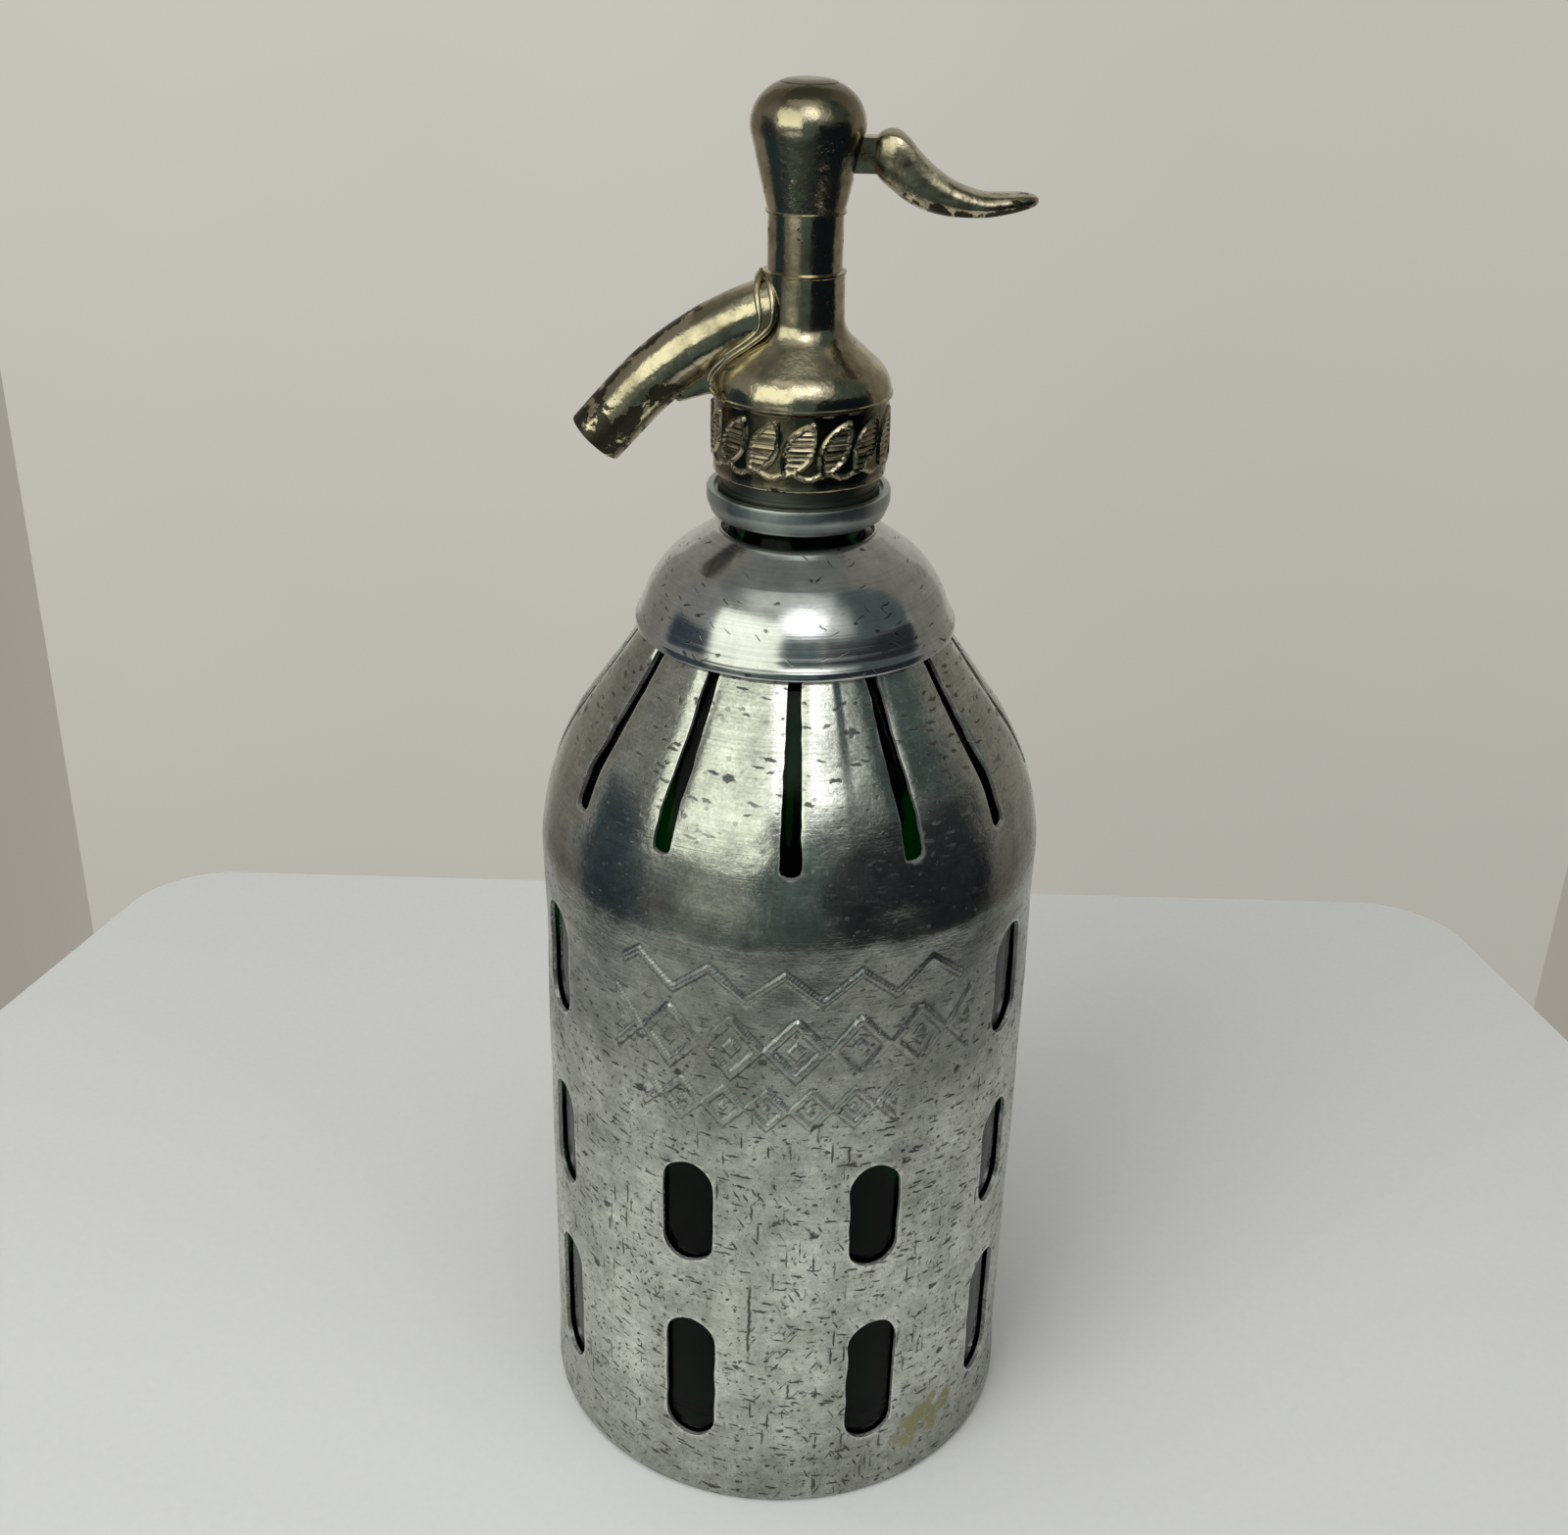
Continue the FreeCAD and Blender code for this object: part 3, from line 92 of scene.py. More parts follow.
class SiphonColours(bpy.types.PropertyGroup):
    """Colours of the finishes and of the stage"""

    aluminium: colour("Aluminium", "#c2c4bc", "Bare aluminium where it is rubbed bright")
    aluminium_dull: colour("Dull aluminium", "#91958c", "Aluminium where it has gone dull")
    # the grime colour, also used for the painted shade on the frieze's slopes
    grime_and_shade: colour("Grime", "#23221d", "Dirt in pits and scratches")
    glue: colour("Old glue", "#7d7c5c", "Remains of a sticker's glue")
    cap: colour("Cap aluminium", "#c2c4c2", "Satin aluminium of the shoulder cap")
    ring: colour("Ring", "#acb3b1", "Bluish grey of the neck ring")
    nickel: colour("Nickel plating", "#c1b79c", "Worn nickel plating, a little warm")
    nickel_dark: colour("Tarnish", "#665f4b", "Nickel plating that has gone dark")
    # also the dark of the painted shade on the undersides of the spout and lever
    bare_metal_and_shade: colour("Bared metal", "#35322a", "Metal that shows where the plating has gone")
    green: colour("Green glass", "#1f6b38", "Bottle glass")
    rubber: colour("Rubber", "#191817", "Seals and packings")
    brass: colour("Brass", "#b08d4c", "Parts of the valve")
    steel: colour("Steel", "#b9b8b4", "Pin and spring")
    table: colour("Table", "#c9cbc8", "Table top")
    wall: colour("Wall", "#c6c3ba", "Wall behind the table")
    # the wall paint's tone darkened as painted shade, since the side walls are in shadow
    side_wall_shade: colour("Side walls", "#a09c93", "Walls to the left and right")
    room: colour("Room", "#5f7070", "The room in front of the siphon")
    dark_room: colour("Dark corner", "#18222a", "The dark sides of the room in front")


# ---------------------------------------------------------------------------------------------
# modelling
# ---------------------------------------------------------------------------------------------

def smooth(low, high, value):
    """0 below low, 1 above high, and an even rise between them."""
    share = min(max((value - low) / (high - low), 0.0), 1.0)
    return share * share * (3 - 2 * share)


def slide(shape, move):
    bmesh.ops.translate(shape, verts=shape.verts[:], vec=move)


def swing(shape, axis, degrees):
    """Turns a shape about one of the frame's axes."""
    bmesh.ops.rotate(shape, verts=shape.verts[:], cent=(0, 0, 0),
                     matrix=Matrix.Rotation(math.radians(degrees), 3, axis))


def every(step):
    """The same spacing in mm everywhere."""
    return lambda across, up: step


def profile(shape, corners, spacing, plane="XZ"):
    """A flat face from its corners in mm, each with an optional rounding; long edges are divided."""
    points = [Vector(corner[:2]) for corner in corners]
    verts = [shape.verts.new((p.x * MM, 0, p.y * MM) if plane == "XZ" else (p.x * MM, p.y * MM, 0))
             for p in points]
    shape.faces.new(verts)
    for index, corner in enumerate(corners):
        if len(corner) < 3:
            continue
        before = (points[index] - points[index - 1]).normalized()
        after = (points[(index + 1) % len(points)] - points[index]).normalized()
        turn = before.angle(after)
        steps = max(2, math.ceil(corner[2] * turn / min(spacing(*points[index]), 1.5)))
        bmesh.ops.bevel(shape, geom=[verts[index]], offset=corner[2] * MM * math.tan(turn / 2),
                        offset_type="OFFSET", affect="VERTICES", segments=steps, profile=0.5,
                        material=-1, clamp_overlap=False)
    for edge in shape.edges[:]:
        middle = (edge.verts[0].co + edge.verts[1].co) / 2 / MM
        up = middle.z if plane == "XZ" else middle.y
        cuts = math.ceil(edge.calc_length() / MM / spacing(middle.x, up)) - 1
        if cuts > 0:
            bmesh.ops.subdivide_edges(shape, edges=[edge], cuts=cuts)


def turned(corners, steps, spacing):
    """A turned solid from its outline as radius and height in mm."""
    shape = bmesh.new()
    profile(shape, corners, spacing)
    bmesh.ops.delete(shape, geom=shape.faces[:], context="FACES_ONLY")
    bmesh.ops.spin(shape, geom=shape.verts[:] + shape.edges[:], cent=(0, 0, 0), axis=(0, 0, 1),
                   angle=TURN, steps=steps, use_merge=True)
    bmesh.ops.remove_doubles(shape, verts=shape.verts[:], dist=MERGE)
    bmesh.ops.delete(shape, geom=[edge for edge in shape.edges if edge.is_wire], context="EDGES")
    bmesh.ops.recalc_face_normals(shape, faces=shape.faces[:])
    return shape


def plate(corners, depth, spacing, plane="XZ"):
    """A flat outline in mm, made depth mm thick to both sides of its plane."""
    shape = bmesh.new()
    profile(shape, corners, spacing, plane)
    made = bmesh.ops.extrude_face_region(shape, geom=shape.faces[:])
    moved = [item for item in made["geom"] if isinstance(item, bmesh.types.BMVert)]
    across = Vector((0, 1, 0)) if plane == "XZ" else Vector((0, 0, 1))
    bmesh.ops.translate(shape, verts=moved, vec=across * depth * MM)
    slide(shape, -across * depth / 2 * MM)
    close(shape)
    return shape


def lengthened(shape, face):
    """Extrudes an end face in place; gives the new end face and its points."""
    made = bmesh.ops.extrude_face_region(shape, geom=[face])["geom"]
    bmesh.ops.delete(shape, geom=[face], context="FACES_ONLY")
    end = next(item for item in made if isinstance(item, bmesh.types.BMFace))
    return end, list(end.verts)


def close(shape):
    """Fills the open ends and turns the faces outwards."""
    rims = [edge for edge in shape.edges if edge.is_boundary]
    if rims:
        bmesh.ops.holes_fill(shape, edges=rims, sides=0)
    bmesh.ops.recalc_face_normals(shape, faces=shape.faces[:])


def smoothed(points, parts):
    """A smooth curve through points or numbers, with each stretch divided into parts."""
    fine = []
    for index in range(len(points) - 1):
        a, b, c, d = (points[min(max(index + step, 0), len(points) - 1)] for step in (-1, 0, 1, 2))
        for part in range(parts):
            share = part / parts
            fine.append(0.5 * (2 * b + (c - a) * share + (2 * a - 5 * b + 4 * c - d) * share ** 2
                               + (3 * b - a - 3 * c + d) * share ** 3))
    return [*fine, points[-1]]


def to_object(name, *shapes):
    """One new object that holds the given shapes."""
    mesh = bpy.data.meshes.new(name)
    for shape in shapes[1:]:
        part = bpy.data.meshes.new("part")
        shape.to_mesh(part)
        shape.free()
        shapes[0].from_mesh(part)
        bpy.data.meshes.remove(part)
    shapes[0].to_mesh(mesh)
    shapes[0].free()
    piece = bpy.data.objects.new(name, mesh)
    bpy.context.scene.collection.objects.link(piece)
    return piece


def carve(piece, tool, operation="DIFFERENCE"):
    """Cuts a tool from the piece, or joins it on, and removes the tool."""
    cut = piece.modifiers.new("Cut", "BOOLEAN")
    cut.object = tool
    cut.operation = operation
    cut.solver = "MANIFOLD"
    before = len(piece.data.polygons)
    graph = bpy.context.evaluated_depsgraph_get()
    graph.update()
    mesh = bpy.data.meshes.new_from_object(piece.evaluated_get(graph))
    if len(mesh.polygons) == before:
        raise RuntimeError(f"{piece.name}: {tool.name} changed nothing")
    piece.modifiers.clear()
    old = piece.data
    piece.data = mesh
    bpy.data.meshes.remove(old)
    bpy.data.objects.remove(tool)


def move_points(piece, shift):
    """Moves each vertex of the piece, in mm, by what shift gives for its place."""
    for vert in piece.data.vertices:
        place = vert.co / MM
        vert.co = (place + shift(place)) * MM


def soften(piece, limit=32):
    """Smooth shading, with the edges sharper than the limit in degrees kept sharp."""
    shape = bmesh.new()
    shape.from_mesh(piece.data)
    bmesh.ops.remove_doubles(shape, verts=shape.verts[:], dist=MERGE)
    for face in shape.faces:
        face.smooth = True
    for edge in shape.edges:
        edge.smooth = len(edge.link_faces) == 2 and edge.calc_face_angle(0) < math.radians(limit)
    shape.to_mesh(piece.data)
    shape.free()


def around(place):
    """Radius in mm and angle in degrees from the front, towards the lever, of a place."""
    return math.hypot(place.x, place.y), math.degrees(math.atan2(place.x, -place.y))


def outward(place):
    return Vector((place.x, place.y, 0)).normalized()


def finish_piece(piece, body, slot, material, *nodes):
    """Gives a piece its material, ties it to its body and stands it in for its CAD nodes."""
    piece.data.materials.clear()
    piece.data.materials.append(material)
    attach(piece, body)
    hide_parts(*nodes)


# ---------------------------------------------------------------------------------------------
# materials
# ---------------------------------------------------------------------------------------------

def add(tree, kind, inputs=None, **settings):
    """Adds a node; inputs maps its sockets to values or to other nodes' outputs."""
    node = tree.nodes.new(kind)
    for name, value in settings.items():
        setattr(node, name, value)
    for socket, value in (inputs or {}).items():
        if isinstance(value, bpy.types.NodeSocket):
            tree.links.new(value, node.inputs[socket])
        else:
            node.inputs[socket].default_value = value
    return node


class Finish:
    """A material in the making, with the steps that finishes are made of."""

    def __init__(self, name):
        self.material = bpy.data.materials.new(name)
        self.material.use_nodes = True
        self.tree = self.material.node_tree
        self.tree.nodes.clear()
        self.place = self.node("ShaderNodeTexCoord", output="Object")

    def node(self, kind, inputs=None, output=0, **settings):
        return add(self.tree, kind, inputs, **settings).outputs[output]

    def axis(self, name):
        return self.node("ShaderNodeSeparateXYZ", {"Vector": self.place}, name)

    def mark(self, name):
        """What the mesh's attribute of that name says."""
        return self.node("ShaderNodeAttribute", output="Fac", attribute_name=name)

    def noise(self, size, detail=2.0, roughness=0.5, output="Fac", **inputs):
        """Clouds whose largest grains are size metres across."""
        inputs = {"Vector": self.place, "Scale": 1 / size, "Detail": detail, "Roughness": roughness, **inputs}
        return self.node("ShaderNodeTexNoise", inputs, output)

    def stretched(self, place, across, high):
        return self.node("ShaderNodeMapping", {"Vector": place, "Scale": (across, across, high)})

    def lines(self, across, high, detail=2.0, roughness=0.5):
        """Noise drawn out into lines, with across and high grains to the metre."""
        return self.noise(1.0, detail, roughness, Vector=self.stretched(self.place, across, high))

    def ramp(self, value, low, high, start=0.0, end=1.0, **settings):
        """Maps low to high evenly onto start to end, and no further."""
        return self.node("ShaderNodeMapRange", {
            "Value": value, "From Min": low, "From Max": high, "To Min": start, "To Max": end}, **settings)

    def maths(self, operation, *values):
        """The values joined one after the other by a mathematical operation."""
        result = values[0]
        for value in values[1:]:
            result = self.node("ShaderNodeMath", {0: result, 1: value}, operation=operation)
        return result

    def strongest(self, *values):
        return self.maths("MAXIMUM", *values)

    def product(self, *values):
        return self.maths("MULTIPLY", *values)

    def distance(self, value, centre):
        """How far a value is from a centre."""
        return self.node("ShaderNodeMath", {0: self.maths("SUBTRACT", value, centre)}, operation="ABSOLUTE")

    def mixed(self, share, one, other, blend="MIX"):
        """Two colours mixed, with share of the other."""
        return self.node("ShaderNodeMix", {"Factor": share, 6: one, 7: other}, output=2,
                         data_type="RGBA", blend_type=blend)

    def toned(self, base, tone):
        return self.mixed(1.0, base, tone, "MULTIPLY")

    def bump(self, height, strength, distance):
        return self.node("ShaderNodeBump", {"Height": height, "Strength": strength, "Distance": distance})

    def flecks(self, across, high, share, ragged, lean=0.0):
        """Marks scattered over a surface, 1 inside them; their cells are across by high metres, share
        is how much of a cell a mark fills, and lean turns them in degrees as seen from the front."""
        drift = self.noise(0.0014, output="Color")
        drift = self.node("ShaderNodeVectorMath", {0: drift, 1: (0.5, 0.5, 0.5)}, operation="SUBTRACT")
        drift = self.node("ShaderNodeVectorMath", {0: drift, "Scale": ragged}, operation="SCALE")
        spot = self.node("ShaderNodeVectorMath", {0: self.place, 1: drift}, operation="ADD")
        if lean:
            spot = self.node("ShaderNodeMapping", {"Vector": spot, "Rotation": (0, math.radians(lean), 0)})
        spot = self.stretched(spot, 1 / across, 1 / high)
        away = self.node("ShaderNodeTexVoronoi", {"Vector": spot, "Scale": 1.0}, "Distance")
        return self.ramp(away, share, share * 0.72)

    def finished(self, shader, inputs):
        """Ends the tree with a shader and gives the material."""
        add(self.tree, "ShaderNodeOutputMaterial", {"Surface": self.node(shader, inputs)})
        return self.material

    def principled(self, **inputs):
        """Ends the tree with a principled shader; underscores in the names stand for spaces."""
        inputs = {name.replace("_", " "): value for name, value in inputs.items()}
        return self.finished("ShaderNodeBsdfPrincipled", inputs)

    def spun_metal(self, **inputs):
        """A metal whose highlights are drawn out across the lines that go round the axis."""
        tangent = self.node("ShaderNodeTangent", direction_type="RADIAL", axis="Z")
        return self.principled(Anisotropic_Rotation=0.25, Tangent=tangent, **inputs)


def aged_aluminium(sizes, colours):
    # spun aluminium that has been handled for decades: fine lines round the body, pits and nicks that hold
    # dirt, crossing scratches, and a frosted, dirtier lower half; with painted highlights and painted shade
    # on the frieze and cut edges, and painted reflection in upright streaks and a darker band round the
    # frieze
    skin = Finish("aged_spun_aluminium")
    cloud, ramp, flecks, product, strongest = skin.noise, skin.ramp, skin.flecks, skin.product, skin.strongest
    lines = skin.lines(18, 1 / sizes.brush_pitch, 3.0, 0.6)
    blotches = cloud(0.016, 6.0, 0.62)
    stains = cloud(0.0045, 6.0, 0.72)
    frost = cloud(0.0006, 3.0, 0.7)
    height = skin.axis("Z")
    low = ramp(height, 0.150, 0.112)
    # fine pits, big ragged ones, small ones, nicks round the body, and dings on the shoulder
    specks = cloud(sizes.pit_size, 4.0, 0.75)
    fine = ramp(skin.maths("SUBTRACT", specks, ramp(low, 0.0, 1.0, 0.68, 0.595)), 0.0, 0.04)
    handled = strongest(low, ramp(height, 0.156, 0.172, 0.15, 1.0))
    big = product(flecks(0.0095, 0.0056, 0.15, 0.0024), handled)
    small = product(flecks(0.0034, 0.0024, 0.17, 0.0009, 12), ramp(low, 0, 1, 0.38, 1))
    nicks = product(flecks(0.0070, 0.0014, 0.22, 0.0010, -8), handled)
    dings = product(flecks(0.0050, 0.0019, 0.2, 0.0018, 5), ramp(height, 0.155, 0.167),
                    ramp(cloud(0.012), 0.36, 0.5, 0.2, 1))
    # upright, slanted and crossing scratches low down, each where its own clouds are thick
    used = ramp(height, 0.118, 0.100)
    scratches = [product(flecks(*marks), used, ramp(cloud(size), *thick)) for marks, size, thick in (
        ((0.0015, 0.0150, 0.19, 0.0006), 0.022, (0.42, 0.56)),
        ((0.0014, 0.0085, 0.19, 0.0007, 31), 0.019, (0.46, 0.58)),
        ((0.0013, 0.0110, 0.18, 0.0007, -38), 0.025, (0.46, 0.58)))]
    # one long scratch on the front
    aside = skin.distance(skin.maths("ADD", skin.axis("X"), product(stains, 0.0022)), -0.0046)
    middle = skin.distance(height, 0.0515)
    long_scratch = product(ramp(aside, 0.0004, 0.0002), ramp(middle, 0.0098, 0.008),
                           ramp(skin.axis("Y"), 0.0, -0.01))
    # all the dark marks: real pits, nicks, scratches and dirt, and the painted shade on the frieze's slopes
    dirt_and_shade = strongest(fine, big, small, nicks, dings, *scratches, long_scratch, skin.mark("shade_and_grime"))
    dull = product(ramp(blotches, 0.36, 0.66), ramp(low, 0, 1, 0.35, 0.6))
    base = skin.mixed(dull, colours.aluminium, colours.aluminium_dull)
    # darker at the very foot, brighter above it, and darker again round the frieze, where the darkening is a
    # painted reflection of the dark room in front
    painted_frieze_shade = strongest(ramp(height, 0.096, 0.116, 1.0, 0.66), ramp(height, 0.147, 0.157, 0.66, 1.0))
    by_height = product(ramp(height, 0.004, 0.034, 0.66, 1.0), ramp(height, 0.088, 0.060, 1.0, 1.18), painted_frieze_shade)
    # upright streaks of painted reflection, lighter and darker
    reflection_streaks = skin.lines(75, 9, 3.0)
    tone = product(ramp(stains, 0.3, 0.7, 0.68, 1.22), ramp(lines, 0.3, 0.7, 0.86, 1.1),
                   ramp(frost, 0.25, 0.75, 0.72, 1.22), ramp(reflection_streaks, 0.35, 0.65, 0.84, 1.12), by_height)
    base = skin.mixed(product(dirt_and_shade, 0.85), skin.toned(base, tone), colours.grime_and_shade)
    # painted highlight on the cut edges of slots and windows, which are partly freshly cut or rubbed metal,
    # and on the frieze's up-facing slopes
    edge = skin.mark("highlight_and_rubbed")
    base = skin.mixed(edge, base, linear("#eeeeea"))
    # a patch of old glue near the foot
    glue = product(skin.mark("glue"), ramp(stains, 0.4, 0.46))
    base = skin.mixed(glue, base, colours.glue)
    rough = skin.maths("ADD", ramp(blotches, 0.35, 0.68, 0.11, 0.24), ramp(low, 0, 1, 0, 0.12),
                       product(dirt_and_shade, 0.22))
    # less metallic under glue and dirt, under the frieze's painted shade, and along the painted edge
    # highlights
    soiled_and_highlit = strongest(glue, product(dirt_and_shade, 0.3), product(edge, 0.26))
    relief = skin.maths("SUBTRACT", product(lines, 0.2), product(dirt_and_shade, ramp(low, 0, 1, 0.25, 0.8)))
    relief = skin.maths("ADD", relief, product(stains, 1.1))
    return skin.spun_metal(
        Base_Color=base, Metallic=skin.maths("SUBTRACT", 0.968, soiled_and_highlit), Roughness=strongest(rough, glue),
        Normal=skin.bump(relief, 0.65, 0.00018), Anisotropic=0.3)


def satin_aluminium(sizes, colours):
    # the shoulder cap: spun, satin, with clear lathe lines, a few pits, and scratches in two directions
    skin = Finish("satin_spun_aluminium")
    lines = skin.lines(12, 2600, 2.0, 0.7)
    pits = skin.strongest(skin.ramp(skin.noise(sizes.pit_size, 3.0, 0.8), 0.69, 0.73),
                          skin.flecks(0.0060, 0.0040, 0.11, 0.0012),
                          skin.flecks(0.0085, 0.0012, 0.15, 0.0010, 24),
                          skin.flecks(0.0080, 0.0012, 0.14, 0.0010, -38))
    base = skin.toned(colours.cap, skin.ramp(lines, 0.3, 0.7, 0.9, 1.05))
    base = skin.mixed(skin.product(pits, 0.75), base, colours.grime_and_shade)
    base = skin.toned(base, skin.ramp(skin.noise(0.005, 6.0, 0.7), 0.32, 0.68, 0.8, 1.1))
    rough = skin.ramp(skin.noise(0.01, 5.0), 0.35, 0.65, 0.11, 0.19)
    relief = skin.maths("SUBTRACT", skin.product(lines, 0.5), skin.product(pits, 0.5))
    return skin.spun_metal(Base_Color=base, Metallic=0.968, Roughness=rough,
                           Normal=skin.bump(relief, 0.4, 0.00008), Anisotropic=0.25)


def grey_ring_metal(colours):
    # the neck ring: turned aluminium with a smooth bluish grey satin skin
    skin = Finish("satin_grey_aluminium")
    spots = skin.noise(0.0015, 4.0)
    return skin.principled(
        Base_Color=skin.toned(colours.ring, skin.ramp(spots, 0.3, 0.7, 0.88, 1.06)), Metallic=1.0,
        Roughness=skin.ramp(spots, 0.3, 0.7, 0.32, 0.4),
        Normal=skin.bump(skin.lines(30, 3000), 0.25, 0.00005))


def worn_nickel(sizes, colours, name, dull=0.0):
    # nickel plating over cast brass: warm and glossy, cloudy with tarnish, and flaked off where
    # hands and weather reach it; the mark for bared plating says how much is gone and also carries painted
    # shade on the undersides of spout and lever, and "sooty" says where dirt sits
    skin = Finish(name)
    clouds = skin.noise(0.006, 5.0, 0.6)
    flakes = skin.noise(sizes.flake_size, 7.0, 0.66, Distortion=0.3)
    kept = skin.ramp(skin.mark("bared_and_shaded"), 0, 1, 0.72, 0.42)
    bare_and_shade = skin.strongest(skin.ramp(skin.maths("SUBTRACT", flakes, kept), 0.0, 0.02),
                          skin.ramp(skin.noise(0.0007, 3.0), 0.7, 0.74))
    crown = skin.ramp(skin.axis("Z"), 0.283, 0.289, 0, 0.9)
    tarnish = skin.strongest(skin.ramp(clouds, 0.42, 0.7, 0, 0.8), crown,
                             skin.ramp(flakes, 0.4, 0.6, 0, dull), skin.mark("sooty"))
    base = skin.mixed(tarnish, colours.nickel, colours.nickel_dark)
    base = skin.mixed(skin.product(bare_and_shade, 0.94), base, colours.bare_metal_and_shade)
    rough = skin.ramp(clouds, 0.4, 0.7, 0.13 + dull * 0.08, 0.27)
    rough = skin.node("ShaderNodeMix", {"Factor": bare_and_shade, 2: rough, 3: 0.45}, data_type="FLOAT")
    relief = skin.maths("SUBTRACT", skin.product(skin.noise(0.0022, 4.0, 0.6), 0.9), skin.product(bare_and_shade, 0.12))
    return skin.principled(Base_Color=base, Metallic=1.0, Roughness=rough,
                           Normal=skin.bump(relief, 0.6, 0.0002))


def bottle_glass(colours):
    # thick dark green bottle glass: almost black through two walls, with faint ripples and smears
    skin = Finish("green_bottle_glass")
    return skin.principled(
        Base_Color=colours.green, Roughness=skin.ramp(skin.noise(0.004, 4.0), 0.45, 0.7, 0.03, 0.14),
        IOR=1.25, Specular_Tint=(0.3, 0.36, 0.32, 1.0), Transmission_Weight=1.0,
        Normal=skin.bump(skin.noise(0.02), 0.3, 0.0004))


def plain_metal(name, base_colour, rough, grain):
    # machined inner parts: a fine turned grain and a little unevenness of tone
    skin = Finish(name)
    lines = skin.lines(60, 1 / grain, 3.0)
    return skin.principled(
        Base_Color=skin.toned(base_colour, skin.ramp(lines, 0.3, 0.7, 0.8, 1.05)), Metallic=1.0,
        Roughness=rough, Normal=skin.bump(lines, 0.3, 0.00005))


def seal_rubber(colours):
    # moulded black rubber: matte, with a fine grain and a little bloom
    skin = Finish("moulded_black_rubber")
    grain = skin.noise(0.0006, 3.0)
    return skin.principled(
        Base_Color=skin.mixed(skin.ramp(grain, 0.5, 0.9), colours.rubber, linear("#4a4743")), Roughness=0.75,
        Normal=skin.bump(grain, 0.4, 0.00005))


def tube_glass():
    # clear drawn glass of the dip tube, with faint lengthwise drawing lines
    skin = Finish("clear_tube_glass")
    return skin.principled(
        Base_Color=linear("#e6f2ec"), Roughness=0.03, IOR=1.5, Transmission_Weight=1.0,
        Normal=skin.bump(skin.lines(900, 20), 0.2, 0.0001))


def painted(name, tint, rough):
    # white laminate: matte, with the faintest unevenness of tone
    skin = Finish(name)
    tone = skin.ramp(skin.noise(0.002, 4.0), 0.3, 0.7, 0.985, 1.01)
    return skin.principled(Base_Color=skin.toned(tint, tone), Roughness=rough)


def glowing(name, tint, strength):
    # a lit card that only reflections see, fading out where its glow attribute does
    skin = Finish(name)
    light = skin.node("ShaderNodeEmission", {"Color": tint, "Strength": strength})
    clear = skin.node("ShaderNodeBsdfTransparent")
    return skin.finished("ShaderNodeMixShader", {0: skin.mark("glow"), 1: clear, 2: light})


def wall_tone_with_painted_shade(colours):
    # the back wall glows in the tone of matte emulsion paint, with painted shade making it a little darker to
    # the right and lower
    skin = Finish("wall_tone_painted_shade")
    side = skin.ramp(skin.axis("X"), -0.2, 0.35, 0.93, 0.84, interpolation_type="SMOOTHSTEP")
    rise = skin.ramp(skin.axis("Z"), -0.55, 0.25, 0.9, 1.1)
    clouds = skin.ramp(skin.noise(0.25, 3.0), 0, 1, 0.97, 1.03)
    return skin.finished("ShaderNodeEmission", {
        "Color": colours.wall, "Strength": skin.product(side, rise, clouds)})


def side_wall_painted_shade(colours):
    # the side walls glow in the same paint's tone, darkened as painted shade, and darker still away from the
    # back wall as painted shade
    skin = Finish("side_wall_tone_painted_shade")
    return skin.finished("ShaderNodeEmission", {
        "Color": colours.side_wall_shade, "Strength": skin.ramp(skin.axis("Y"), 1.1, 0.1, 0.98, 0.62)})


# ---------------------------------------------------------------------------------------------
# jacket
# ---------------------------------------------------------------------------------------------

JACKET_RADIUS = 52.5
# radius and height in mm of the jacket's outline and wall, with the roundings of its corners
JACKET = [(36, 0), (JACKET_RADIUS, 0, 1.6), (JACKET_RADIUS, 156.3, 50), (27.6, 193), (26.855, 192.495),
          (51.6, 156.023, 49.1), (51.6, 0.9, 0.7), (36, 0.9)]
SLOT_ANGLES = [-57.3, -29.7, 0.5, 29.2, 57.0, 88.0, 118.5, 149.6, 180.3, 210.2, 240.4, 271.5]
# foot, top and angles of the windows in each row, and their width
WINDOWS = [(16.0, 49.0, (-62.6, -20.4, 23.2, 61.2, 101.0, 141.3, 180.2, 220.9, 260.0)),
           (64.5, 90.0, (-63.9, -21.2, 22.0, 60.9, 100.5, 141.0, 181.0, 219.8, 260.2)),
           (108.5, 134.0, (-64.4, 60.4, 101.4, 140.4, 180.8, 220.4, 259.6))]
WINDOW_WIDTH = 11.3
# angle, height, reach round and up, and share of the full depth of each dent
DENTS = [(38, 150, 7, 5, 1.0), (26, 146, 5, 3, 0.7), (-34, 148, 9, 4, 0.5), (12, 152, 4, 3, 0.5),
         (-12, 62, 9, 7, 0.5), (30, 92, 7, 8, 0.5), (-40, 90, 8, 9, 0.6), (4, 22, 10, 6, 0.6),
         (36, 34, 6, 8, 0.6), (-30, 12, 7, 5, 0.7), (48, 60, 5, 10, 0.6), (-50, 40, 6, 9, 0.5),
         (0, 95, 12, 5, 0.4), (75, 130, 9, 9, 0.8), (-80, 120, 9, 12, 0.8), (120, 60, 12, 10, 1.0),
         (160, 110, 10, 9, 0.9), (-130, 80, 12, 12, 1.0), (-170, 40, 9, 9, 0.8), (100, 20, 9, 9, 0.9)]


def jacket_spacing(radius, height):
    """Distance between the jacket's rows: fine outside, wide inside and under the foot."""
    if height < 1.2 and radius < 51:
        return 4.0
    return 5.0 if radius < 52 and height < 141 else 1.5


def in_field(place, margin=0):
    """Whether a place is on the jacket's front field, which holds the frieze."""
    radius, angle = around(place)
    return (radius > 51.9 and 97 - margin < place.z < 142 + margin
            and -50 - 2 * margin < angle < 52 + 2 * margin)


